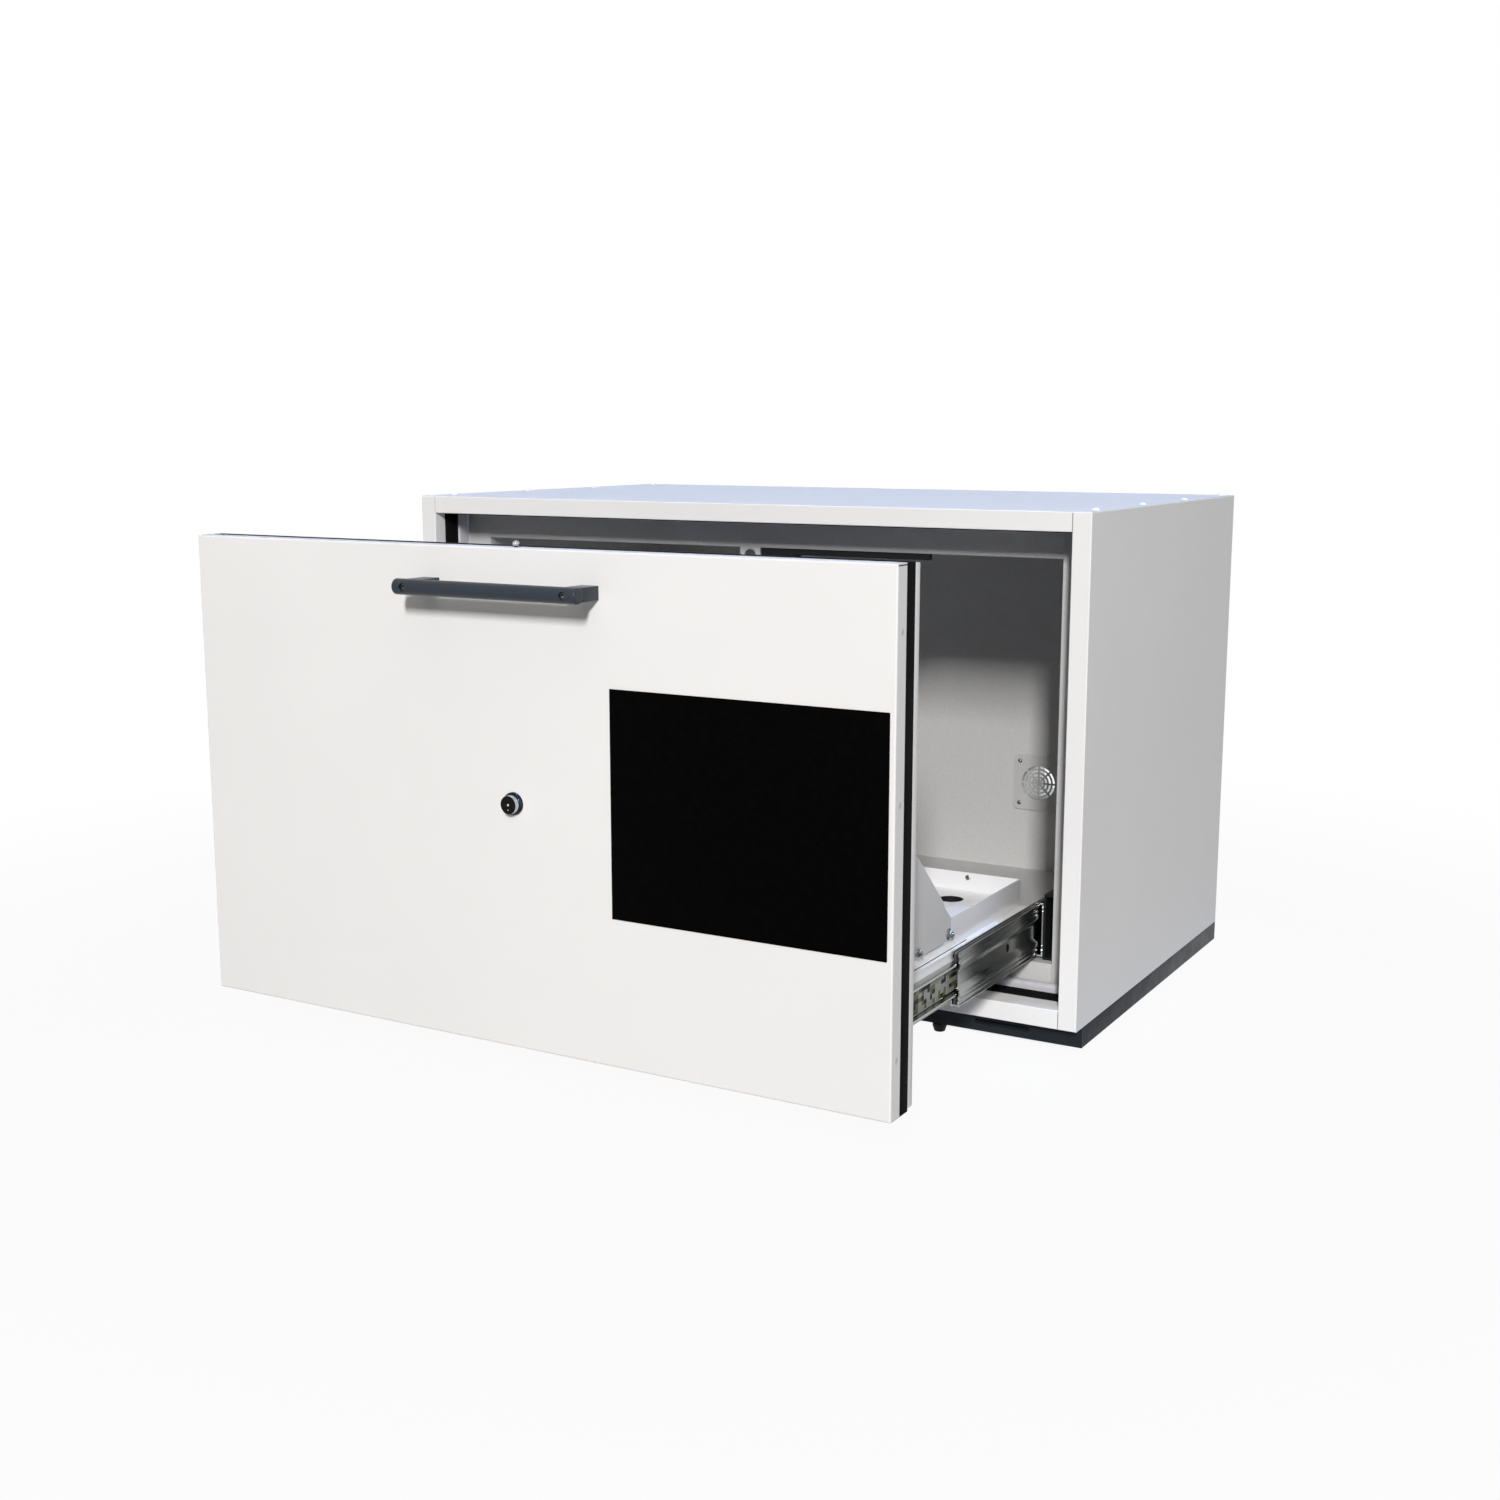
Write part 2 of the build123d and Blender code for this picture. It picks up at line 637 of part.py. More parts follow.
# Spill tray and the loose floor plate that stands in it
tray_x = chassis_half - ledge_width
tray_y = (chassis_y[0] + tray_front_gap, chassis_y[1] - tray_back_gap)
tray_z = (low_z + cross_height, ledge_z + tray_rise)
tray = box((-tray_x, tray_x), tray_y, tray_z)
in_x = tray_x - tray_wall
in_y = (tray_y[0] + tray_wall, tray_y[1] - tray_wall)
tray_floor = tray_z[0] + tray_wall
tray = tray - box((-in_x, in_x), in_y, (tray_floor, tray_z[1] + tray_wall))
parts["spill_tray"] = tray
plate_x = in_x - insert_gap
plate_y = (in_y[0] + insert_gap, in_y[1] - insert_gap)
insert_z = tray_z[1] - tray_depth
insert = box((-plate_x, plate_x), plate_y, (insert_z - sheet, insert_z))
insert = insert + box((-plate_x, plate_x), (plate_y[0], plate_y[0] + sheet), (tray_floor, insert_z - sheet))
insert = insert + box((-plate_x, plate_x), (plate_y[1] - sheet, plate_y[1]), (tray_floor, insert_z - sheet))
drain_y = in_y[1] - insert_hole_back
drain = upright(in_x - insert_hole_side, drain_y, (insert_z - sheet * 2, insert_z + sheet), insert_hole)
parts["tray_floor_plate"] = insert - drain - flip(drain)

# Gusset plates from the back of the drawer front to the tray sides
g_low = tray_z[1] - gusset_overlap
g_end = face_back + gusset_length
g_tab = g_end - gusset_tab
g_tail = g_low + gusset_tail
g_high = g_low + gusset_height
tab_top = g_tail + (g_high - g_tail) * gusset_tab / gusset_length
plate_points = [(face_back, g_low), (g_tab, g_low), (g_tab, tab_top), (face_back, g_high)]
tab_points = [(g_tab - gusset_thick, g_low), (g_end, g_low), (g_end, g_tail), (g_tab, tab_top)]
tab_points.append((g_tab - gusset_thick, tab_top))


def sideways(points, x):
    """A plate outline given as y and z points, drawn out along X between two sides."""
    outline = Polyline(*[(x[0], py, pz) for py, pz in points], close=True)
    return extrude(make_face(outline), amount=x[1] - x[0], dir=(1, 0, 0))


tab_x = (tray_x, tray_x + gusset_thick)
main_x = (tray_x + gusset_thick, tray_x + gusset_thick * 2)
gusset = sideways(plate_points, main_x) + sideways(tab_points, tab_x)
flange_x = (main_x[1], main_x[1] + gusset_flange)
flange_z = (g_low, g_high - gusset_thick * 2)
gusset = gusset + box(flange_x, (face_back, face_back + gusset_thick), flange_z)
parts["gussets"] = pair(gusset)

# Bolts on the gusset tails and rivets on the tray's rear wall
fixings = []
fix_z = g_low + gusset_bolt_rise
for place in range(gusset_bolts):
    fix_y = g_end - gusset_bolt_back - gusset_bolt_pitch * place
    fix_x = tab_x[1] if place == 0 else main_x[1]
    washer = crossways((fix_x, fix_x + washer_thick), fix_y, fix_z, washer_radius)
    head_x = fix_x + washer_thick
    turn = Rot(0, quarter_turn, 0)
    hexagon = extrude(RegularPolygon(bolt_head, side_count=6), amount=bolt_head_length)
    fixings.append(pair(washer + Pos(head_x, fix_y, fix_z) * turn * hexagon))
rivet_z = tray_z[1] - rivet_drop
rivet_x = in_x - rivet_side
fixings.append(pair(lengthways(rivet_x, (in_y[1] - rivet_thick, in_y[1]), rivet_z, rivet_radius)))
parts["drawer_fixings"] = group(fixings)

# Drawer front: folded steel skin round an insulating core, edge seals and an inner plate
core_x = half_drawer - sheet
core_z = (drawer_low + sheet, drawer_top - sheet)
skin = box((-half_drawer, half_drawer), (face_y, face_y + skin_depth), (drawer_low, drawer_top))
skin = fillet(skin.faces().sort_by(Axis.Y)[0].outer_wire().edges(), skin_round)
skin = skin - box((-core_x, core_x), (face_y + sheet, face_y + skin_depth + sheet), core_z)
for level_z in ((drawer_low - sheet, drawer_low + sheet), (drawer_top - sheet, drawer_top + sheet)):
    slit_y = (face_y + skin_round, face_y + skin_depth + sheet)
    skin = skin - pair(box((core_x - corner_gap, core_x), slit_y, level_z))
lock_way = lengthways(0, (face_y - sheet, face_y + sheet * 2), mid_z, lock_outer + clearance)
rod_way = upright(0, bolt_y, (drawer_top - sheet * 2, drawer_top + sheet), bolt_hole)
handle_z = drawer_top - handle_drop
post_x = handle_length / 2 - post_inset
shank_y = (face_y - handle_stand, face_y + handle_shank_end)
shank_way = pair(lengthways(post_x, shank_y, handle_z, handle_shank + clearance))
parts["front_skin"] = skin - lock_way - rod_way - shank_way
core = box((-core_x, core_x), (face_y + sheet, face_y + core_depth), core_z)
pocket_x = (-pocket_left, pocket_right)
pocket_y = (face_y + sheet, bolt_y + guide_aft)
core = core - box(pocket_x, pocket_y, (mid_z - pocket_low, mid_z + pocket_high))
channel_y = (bolt_y - guide_fore, bolt_y + guide_aft)
core = core - box((-guide_half, guide_half), channel_y, (mid_z, drawer_top))
parts["front_core"] = core - shank_way
edge_y = (face_y + skin_depth, face_y + core_depth)
edge_side = box((core_x, half_drawer), edge_y, (drawer_low, drawer_top))
parts["edge_seal_sides"] = pair(edge_side)
edge_top = box((-core_x, core_x), edge_y, (core_z[1], drawer_top))
edge_low = box((-core_x, core_x), edge_y, (drawer_low, core_z[0]))
parts["edge_seal_rails"] = group([edge_low, edge_top])
inner_z = (drawer_low + inner_inset, drawer_top - inner_inset)
inner_half = half_drawer - inner_inset / 2
parts["front_inner_plate"] = box((-inner_half, inner_half), (face_y + core_depth, face_back), inner_z)

# Bare label plate on the right of the drawer front
label_z = mid_z + label_rise
label_right = half_drawer - label_edge
label_span = (label_right - label_width, label_right)
label_level = (label_z - label_height / 2, label_z + label_height / 2)
parts["label_plate"] = box(label_span, (face_y - label_thick, face_y), label_level)

# Handle: a round bar with a flat behind each post, held by screws sunk from the front
bar_y = face_y - handle_stand
bar = crossways((-handle_length / 2, handle_length / 2), bar_y, handle_z, handle_radius)
bar = fillet(bar.edges().filter_by(GeomType.CIRCLE), handle_edge)
flat_y = bar_y + handle_flat
post_span = (post_x - post_width / 2, post_x + post_width / 2)
flat_z = (handle_z - handle_radius, handle_z + handle_radius)
flat = box(post_span, (flat_y, bar_y + handle_radius * 2), flat_z)
bore_y = (bar_y - handle_radius * 2, bar_y - handle_radius + handle_bore_depth)
bores = pair(lengthways(post_x, bore_y, handle_z, handle_bore))
shank_cut = pair(lengthways(post_x, (bar_y - handle_radius, flat_y), handle_z, handle_shank + clearance))
parts["handle_bar"] = bar - flat - flip(flat) - bores - shank_cut
post_z = (handle_z - post_height / 2, handle_z + post_height / 2)
post = box(post_span, (flat_y, face_y), post_z)
parts["handle_posts"] = pair(post - lengthways(post_x, (flat_y, face_y), handle_z, handle_shank + clearance))
head_y = (bore_y[1] - handle_head_length, bore_y[1])
head = lengthways(post_x, head_y, handle_z, handle_bore - handle_head_gap)
shank = lengthways(post_x, (head_y[1], face_y + handle_shank_end), handle_z, handle_shank)
parts["handle_screws"] = pair(head + shank)

# Lock: a chrome housing with a collar, and a plug that turns a crank pin
cam_start = bolt_setback - yoke_thick / 2 - cam_gap - cam_thick
lock_tail = cam_start - lock_tail_gap
lock_plug_radius = lock_outer - lock_wall - clearance
housing = lengthways(0, (face_y - lock_stand, face_y + lock_tail), mid_z, lock_outer)
housing = housing + lengthways(0, (face_y - lock_collar_length, face_y), mid_z, lock_collar)
rims = edges_on(housing, y=face_y - lock_collar_length).sort_by(SortBy.RADIUS)[-1:]
housing = fillet(rims + edges_on(housing, y=face_y - lock_stand), lock_edge)
plug_way = lengthways(0, (face_y - lock_stand, face_y + lock_tail), mid_z, lock_plug_radius + clearance)
parts["lock_housing"] = housing - plug_way
plug = lengthways(0, (face_y - lock_stand, face_y + lock_tail), mid_z, lock_plug_radius)
plug = plug + lengthways(0, (face_y + lock_tail, face_y + cam_start), mid_z, lock_tail_radius)
cam_y = (face_y + cam_start, face_y + cam_start + cam_thick)
plug = plug + lengthways(0, cam_y, mid_z, cam_radius)
pin_y = (cam_y[1], cam_y[1] + pin_length)
plug = plug + lengthways(-cam_offset, pin_y, mid_z - cam_offset, pin_radius)
key_y = (face_y - lock_stand, face_y - lock_stand + key_depth)
key_x = (-key_width / 2, key_width / 2)
parts["lock_plug"] = plug - box(key_x, key_y, (mid_z - key_height / 2, mid_z + key_height / 2))

# Lock bolt: a slotted yoke that the crank pin lifts, a rod and a ball tip
yoke_y = (bolt_y - yoke_thick / 2, bolt_y + yoke_thick / 2)
yoke_slot_left = cam_offset * diagonal_share + pin_radius + yoke_slot_end
yoke = box((-yoke_slot_left - yoke_wall, yoke_right), yoke_y, (mid_z - yoke_low, mid_z + yoke_high))
pin_z = mid_z - cam_offset
yoke_slot_half = pin_radius + yoke_play
yoke_slot_z = (pin_z - yoke_slot_half, pin_z + yoke_slot_half)
yoke_slot_y = (yoke_y[0] - yoke_thick, yoke_y[1] + yoke_thick)
yoke = yoke - box((-yoke_slot_left, -yoke_slot_right), yoke_slot_y, yoke_slot_z)
ball_z = open_high - bolt_top_gap - bolt_ball
rod_top = drawer_top - sheet * 2 - cam_offset
rod = upright(0, bolt_y, (mid_z + yoke_high, rod_top), bolt_radius)
neck = upright(0, bolt_y, (rod_top, ball_z), bolt_neck)
ball = Pos(0, bolt_y, ball_z) * Sphere(bolt_ball)
parts["lock_bolt"] = yoke + rod + neck + ball

# Guides that keep the bolt rod straight in its channel
guides = []
for start in (mid_z + guide_low, drawer_top - sheet - guide_top_gap - guide_height):
    block = box((-guide_half, guide_half), channel_y, (start, start + guide_height))
    guides.append(block - upright(0, bolt_y, (start, start + guide_height), bolt_radius + clearance))
parts["bolt_guides"] = group(guides)

os.makedirs("parts", exist_ok=True)
for name, shape in parts.items():
    export_step(shape, "parts/" + name + ".step")
print(len(parts), "sub-parts written")
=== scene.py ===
import json
from math import cos, radians, sin

import bmesh
import bpy
from mathutils import Matrix, Vector


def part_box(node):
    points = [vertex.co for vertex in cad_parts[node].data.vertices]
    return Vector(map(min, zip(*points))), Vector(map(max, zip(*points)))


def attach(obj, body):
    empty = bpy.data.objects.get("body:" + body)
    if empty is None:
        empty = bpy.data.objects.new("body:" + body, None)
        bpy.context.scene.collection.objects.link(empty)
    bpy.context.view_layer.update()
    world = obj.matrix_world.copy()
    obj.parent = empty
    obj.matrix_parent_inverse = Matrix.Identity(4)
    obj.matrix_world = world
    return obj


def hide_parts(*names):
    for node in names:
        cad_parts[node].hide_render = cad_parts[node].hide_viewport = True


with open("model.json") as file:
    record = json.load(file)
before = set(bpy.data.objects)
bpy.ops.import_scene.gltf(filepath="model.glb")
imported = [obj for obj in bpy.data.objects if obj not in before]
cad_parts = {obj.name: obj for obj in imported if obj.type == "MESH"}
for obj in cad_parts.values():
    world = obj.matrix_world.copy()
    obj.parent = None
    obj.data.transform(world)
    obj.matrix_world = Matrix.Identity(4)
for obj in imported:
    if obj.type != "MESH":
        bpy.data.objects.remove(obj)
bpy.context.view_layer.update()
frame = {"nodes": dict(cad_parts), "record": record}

scene = bpy.context.scene
mm = 0.001
print("frame loaded:", len(frame["nodes"]), "nodes")


def putInScene(name, data):
    thing = bpy.data.objects.new(name, data)
    scene.collection.objects.link(thing)
    return thing


# camera, at the photograph's viewing angle
cameraSettings = {
    "place": (1.1057, -1.9084, 0.6905),
    "turn": (80.0, 0.0, 30.0),
    "lens": 44.44,
    "sensor": 36.0,
}


def setCamera(s):
    data = bpy.data.cameras.new("viewCamera")
    data.lens = s["lens"]
    data.sensor_width = s["sensor"]
    camera = putInScene("viewCamera", data)
    camera.location = s["place"]
    camera.rotation_euler = [radians(a) for a in s["turn"]]
    scene.camera = camera


setCamera(cameraSettings)
print("camera set")


# small helpers for node trees: an input takes either a link or a value
def feed(tree, node, inputs):
    for key, value in inputs.items():
        if isinstance(value, bpy.types.NodeSocket):
            tree.links.new(value, node.inputs[key])
        else:
            node.inputs[key].default_value = value
    return node


def addNode(tree, kind, inputs=None, **values):
    node = tree.nodes.new(kind)
    for key, value in values.items():
        setattr(node, key, value)
    return feed(tree, node, inputs or {})


def maths(tree, operation, first, second):
    return addNode(tree, "ShaderNodeMath", {0: first, 1: second}, operation=operation).outputs[0]


def joinAxes(tree, **axes):
    return addNode(tree, "ShaderNodeCombineXYZ", axes).outputs[0]


def splitAxes(tree, vector):
    return addNode(tree, "ShaderNodeSeparateXYZ", {0: vector}).outputs


def clearedTree(owner):
    owner.use_nodes = True
    owner.node_tree.nodes.clear()
    return owner.node_tree


def startFinish(name):
    finish = bpy.data.materials.new(name)
    tree = clearedTree(finish)
    shader = addNode(tree, "ShaderNodeBsdfPrincipled")
    addNode(tree, "ShaderNodeOutputMaterial", {"Surface": shader.outputs["BSDF"]})
    coords = addNode(tree, "ShaderNodeTexCoord")
    return finish, tree, shader, coords.outputs["Object"]


def stretched(tree, coords, scale):
    return addNode(tree, "ShaderNodeMapping", {"Vector": coords, "Scale": scale}).outputs["Vector"]


def noise(tree, vector, scale, detail=2.0, rough=0.5):
    inputs = {"Vector": vector, "Scale": scale, "Detail": detail, "Roughness": rough}
    return addNode(tree, "ShaderNodeTexNoise", inputs).outputs["Fac"]


def ramp(tree, fac, places, colours):
    node = addNode(tree, "ShaderNodeValToRGB", {"Fac": fac})
    for element, place, colour in zip(node.color_ramp.elements, places, colours):
        element.position = place
        element.color = (*colour, 1.0)
    return node.outputs["Color"]


# most of a noise lies between these two values
noiseSpan = (0.3, 0.7)


def spread(tree, fac, low, high):
    inputs = {"Value": fac, "From Min": noiseSpan[0], "From Max": noiseSpan[1], "To Min": low, "To Max": high}
    return addNode(tree, "ShaderNodeMapRange", inputs).outputs["Result"]


def bump(tree, shader, height, strength, depth):
    node = addNode(tree, "ShaderNodeBump", {"Height": height, "Strength": strength, "Distance": depth})
    feed(tree, shader, {"Normal": node.outputs["Normal"]})


# finishes: powder coats
powderCoats = {
    "whiteCoat": {"colour": (0.86, 0.855, 0.845), "drift": 0.975, "gloss": (0.3, 0.38), "specular": 0.0,
                  "lacquer": 0.3},
    "trayCoat": {"colour": (0.87, 0.87, 0.88), "drift": 0.97, "gloss": (0.16, 0.22), "specular": 0.8},
    "anthraciteCoat": {"colour": (0.018, 0.0225, 0.028), "drift": 0.82, "gloss": (0.34, 0.44),
                       "specular": 0.08},
    # handleCoat: a lighter, bluer copy of the anthracite coat, painted bluish sheen on the handle
    "handleCoat": {"colour": (0.03, 0.039, 0.053), "drift": 0.82, "gloss": (0.28, 0.36), "specular": 0.22},
    "grilleCoat": {"colour": (0.5, 0.5, 0.49), "drift": 0.95, "gloss": (0.4, 0.5), "specular": 0.3},
    "blackCoat": {"colour": (0.012, 0.013, 0.015), "drift": 0.8, "gloss": (0.35, 0.48), "specular": 0.1},
    "screwCoat": {"colour": (0.88, 0.88, 0.875), "drift": 0.97, "gloss": (0.3, 0.38), "specular": 0.4},
    # plugCoat: a grey well below the white coat, painted shade that makes the flank plugs read as small dents
    "plugCoat": {"colour": (0.6, 0.6, 0.6), "drift": 0.95, "gloss": (0.3, 0.38), "specular": 0.3},
    "lockCoat": {"colour": (0.008, 0.0075, 0.006), "drift": 0.8, "gloss": (0.3, 0.4), "specular": 0.06},
}
coatTexture = {"toneScale": 5.0, "toneDetail": 3.0, "patchScale": 60.0, "lacquerRough": 0.35,
               "peelScale": 900.0, "peelDetail": 1.0, "peelBump": 0.06, "peelDepth": 0.0004}


def powderCoat(name, s, t):
    finish, tree, shader, coords = startFinish(name)
    tone = noise(tree, coords, t["toneScale"], t["toneDetail"])
    worn = tuple(c * s["drift"] for c in s["colour"])
    patches = noise(tree, coords, t["patchScale"])
    feed(tree, shader, {
        "Base Color": ramp(tree, tone, noiseSpan, (worn, s["colour"])),
        "Roughness": spread(tree, patches, *s["gloss"]),
        "Specular IOR Level": s["specular"],
        "Coat Weight": s.get("lacquer", 0.0),
        "Coat Roughness": t["lacquerRough"],
    })
    bump(tree, shader, noise(tree, coords, t["peelScale"], t["peelDetail"]), t["peelBump"], t["peelDepth"])
    return finish


finishes = {name: powderCoat(name, s, coatTexture) for name, s in powderCoats.items()}


# finishes: lining, boards, seals and plastics
mattFinishes = {
    "greyLining": {"low": (0.48, 0.478, 0.47), "high": (0.6, 0.598, 0.59), "grain": 700.0,
                   "rough": (0.45, 0.6), "specular": 0.25, "bump": 0.12, "depth": 0.0003},
    "fireBoard": {"low": (0.58, 0.55, 0.49), "high": (0.74, 0.71, 0.64), "grain": 260.0,
                  "rough": (0.8, 0.95), "specular": 0.2, "bump": 0.3, "depth": 0.0008},
    "blackSeal": {"low": (0.005, 0.005, 0.005), "high": (0.011, 0.011, 0.0105), "grain": 420.0,
                  "rough": (0.7, 0.82), "specular": 0.02, "bump": 0.15, "depth": 0.0004},
    "paleGasket": {"low": (0.5, 0.5, 0.53), "high": (0.58, 0.58, 0.61), "grain": 180.0,
                   "rough": (0.45, 0.55), "specular": 0.3, "bump": 0.05, "depth": 0.0004},
    "blackPlastic": {"low": (0.010, 0.011, 0.013), "high": (0.018, 0.019, 0.022), "grain": 900.0,
                     "rough": (0.42, 0.55), "specular": 0.12, "bump": 0.12, "depth": 0.0003},
    "cageGrey": {"low": (0.03, 0.03, 0.032), "high": (0.055, 0.055, 0.058), "grain": 500.0,
                 "rough": (0.4, 0.55), "specular": 0.3, "bump": 0.1, "depth": 0.0003},
    "labelBlack": {"low": (0.0008, 0.0008, 0.0008), "high": (0.0016, 0.0016, 0.0016), "grain": 160.0,
                   "rough": (0.42, 0.5), "specular": 0.01, "bump": 0.03, "depth": 0.0002},
    "cellGrey": {"low": (0.23, 0.23, 0.215), "high": (0.34, 0.34, 0.32), "grain": 300.0,
                 "rough": (0.35, 0.45), "specular": 0.4, "bump": 0.05, "depth": 0.0002},
    # cellOlive: olive for the pressed cells, painted reflection of a checkered surround in the zinc web
    "cellOlive": {"low": (0.07, 0.074, 0.022), "high": (0.125, 0.13, 0.045), "grain": 300.0,
                  "rough": (0.4, 0.5), "specular": 0.3, "bump": 0.05, "depth": 0.0002},
    "seamGrey": {"low": (0.16, 0.16, 0.16), "high": (0.26, 0.26, 0.26), "grain": 300.0,
                 "rough": (0.6, 0.7), "specular": 0.1, "bump": 0.05, "depth": 0.0002},
}
mattTexture = {"grainDetail": 4.0, "grainRough": 0.65, "span": (0.32, 0.68), "cloudScale": 18.0}


def mattFinish(name, s, t):
    finish, tree, shader, coords = startFinish(name)
    grain = noise(tree, coords, s["grain"], t["grainDetail"], t["grainRough"])
    feed(tree, shader, {
        "Base Color": ramp(tree, grain, t["span"], (s["low"], s["high"])),
        "Roughness": spread(tree, noise(tree, coords, t["cloudScale"]), *s["rough"]),
        "Specular IOR Level": s["specular"],
    })
    bump(tree, shader, grain, s["bump"], s["depth"])
    return finish


for name, s in mattFinishes.items():
    finishes[name] = mattFinish(name, s, mattTexture)


# finishes: bare and plated metal
metalFinishes = {
    "zincPlate": {"dark": (0.3, 0.312, 0.305), "light": (0.4, 0.415, 0.405), "stretch": (160.0, 3.0, 160.0),
                  "rough": (0.15, 0.21)},
    # shadeZinc: a darker copy of the zinc, painted shade for the fixed slides that sit in the shadow of the
    # stiles
    "shadeZinc": {"dark": (0.07, 0.075, 0.08), "light": (0.14, 0.15, 0.155), "stretch": (160.0, 3.0, 160.0),
                  "rough": (0.12, 0.2)},
    # screwSteel: a near-black steel, painted shade of the handle screws' sockets and counterbores
    "screwSteel": {"dark": (0.035, 0.038, 0.042), "light": (0.07, 0.075, 0.08), "stretch": (90.0, 90.0, 90.0),
                   "rough": (0.18, 0.26)},
    "rearSteel": {"dark": (0.4, 0.41, 0.42), "light": (0.58, 0.595, 0.61), "stretch": (90.0, 90.0, 90.0),
                  "rough": (0.3, 0.5)},
    "chromePlate": {"dark": (0.36, 0.37, 0.39), "light": (0.56, 0.575, 0.59), "stretch": (300.0, 60.0, 300.0),
                    "rough": (0.06, 0.12)},
    # darkChrome: near-black, blue-tinted chrome whose darkness is painted dark reflection on the lock collar
    "darkChrome": {"dark": (0.012, 0.015, 0.022), "light": (0.03, 0.038, 0.06),
                   "stretch": (120.0, 60.0, 120.0), "rough": (0.07, 0.12)},
    "ballSteel": {"dark": (0.5, 0.51, 0.52), "light": (0.68, 0.69, 0.7), "stretch": (90.0, 90.0, 90.0),
                  "rough": (0.06, 0.12)},
}
metalTexture = {"detail": 3.0, "grain": 0.6, "span": (0.3, 0.68), "bump": 0.008, "depth": 0.0003}


def metalFinish(name, s, t):
    finish, tree, shader, coords = startFinish(name)
    streaks = noise(tree, stretched(tree, coords, s["stretch"]), 1.0, t["detail"], t["grain"])
    feed(tree, shader, {
        "Base Color": ramp(tree, streaks, t["span"], (s["dark"], s["light"])),
        "Roughness": spread(tree, streaks, *s["rough"]),
        "Metallic": 1.0,
    })
    bump(tree, shader, streaks, t["bump"], t["depth"])
    return finish


for name, s in metalFinishes.items():
    finishes[name] = metalFinish(name, s, metalTexture)
print("finishes made:", len(finishes))


# which finish each of the record's slots takes
slotFinish = {
    "white_paint": "whiteCoat",
    "rear_steel": "rearSteel",
    "fire_board": "fireBoard",
    "grey_laminate": "greyLining",
    "black_seal": "blackSeal",
    "pale_gasket": "paleGasket",
    "anthracite_paint": "anthraciteCoat",
    "grille_grey": "grilleCoat",
    "white_screw": "screwCoat",
    "black_plastic": "blackPlastic",
    "black_steel": "blackCoat",
    "zinc_steel": "zincPlate",
    "cage_grey": "cageGrey",
    "label_black": "labelBlack",
    "chrome": "chromePlate",
    "lock_black": "lockCoat",
}
nodeFinish = {
    "spill_tray": "trayCoat",
    "tray_floor_plate": "trayCoat",
    # the handle takes the painted-sheen copy of the anthracite
    "handle_bar": "handleCoat",
    "handle_posts": "handleCoat",
    # the fixed slides take the painted-shade zinc
    "slide_outer_members": "shadeZinc",
}
nodeSlot = {part["node"]: part["material_slot"] for part in frame["record"]["subparts"]}
bodies = frame["record"]["behaviour"]["bodies"]
bodyOf = {node: body for body, members in bodies.items() for node in members}


def finishOf(node):
    return nodeFinish.get(node, slotFinish[nodeSlot[node]])


for node, obj in frame["nodes"].items():
    obj.data.materials.clear()
    obj.data.materials.append(finishes[finishOf(node)])
print("nodes dressed")


# pieces: shared ways of making a mesh
creaseAngle = 30.0
nodeWeld = 1e-6
turnWeld = 1e-7
cornerShare = 0.48


def settle(piece, body, slot, *nodes):
    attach(piece, body)
    if nodes:
        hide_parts(*nodes)


def plainMesh(work, name):
    mesh = bpy.data.meshes.new(name)
    work.to_mesh(mesh)
    work.free()
    return mesh


def meshFrom(work, name, crease=creaseAngle):
    mesh = plainMesh(work, name)
    mesh.polygons.foreach_set("use_smooth", [True] * len(mesh.polygons))
    mesh.set_sharp_from_angle(angle=radians(crease))
    return mesh


def addPiece(name, work, finish, body, slot, *nodes, crease=creaseAngle):
    piece = putInScene(name, meshFrom(work, name, crease))
    piece.data.materials.append(finishes[finish])
    settle(piece, body, slot, *nodes)
    return piece


def takeMesh(piece):
    view = bpy.context.evaluated_depsgraph_get()
    plain = bpy.data.meshes.new_from_object(piece.evaluated_get(view), depsgraph=view)
    piece.modifiers.clear()
    piece.data = plain


def absorb(whole, work):
    mesh = plainMesh(work, "part")
    whole.from_mesh(mesh)
    bpy.data.meshes.remove(mesh)


def mirrored(work):
    bmesh.ops.scale(work, vec=(-1.0, 1.0, 1.0), verts=work.verts)
    bmesh.ops.recalc_face_normals(work, faces=work.faces)
    return work


def inMetres(points):
    return [(r * mm, z * mm) for r, z in points]


def roundedLoop(points, steps=3):
    loop = []
    for i, (across, up, radius) in enumerate(points):
        here = Vector((across, up))
        if not radius:
            loop.append(here)
            continue
        back = Vector(points[i - 1][:2]) - here
        ahead = Vector(points[(i + 1) % len(points)][:2]) - here
        first = here + back.normalized() * min(radius, back.length * cornerShare)
        last = here + ahead.normalized() * min(radius, ahead.length * cornerShare)
        for k in range(steps + 1):
            t = k / steps
            loop.append(first * (1 - t) ** 2 + here * (2 * t * (1 - t)) + last * t * t)
    return loop


def drawnSection(loop, start, end, sideways=False):
    work = bmesh.new()
    rows = []
    for y in (start, end):
        spots = [(y, p.x, p.y) if sideways else (p.x, y, p.y) for p in loop]
        rows.append([work.verts.new(spot) for spot in spots])
    work.faces.new(rows[0])
    work.faces.new(rows[1])
    for i in range(len(loop)):
        work.faces.new((rows[0][i - 1], rows[0][i], rows[1][i], rows[1][i - 1]))
    bmesh.ops.recalc_face_normals(work, faces=work.faces)
    return work


def drawnPair(loop, start, end, ways=(-1, 1), sideways=False):
    whole = bmesh.new()
    for way in ways:
        work = drawnSection(loop, start, end, sideways)
        if way < 0:
            mirrored(work)
        absorb(whole, work)
    return whole


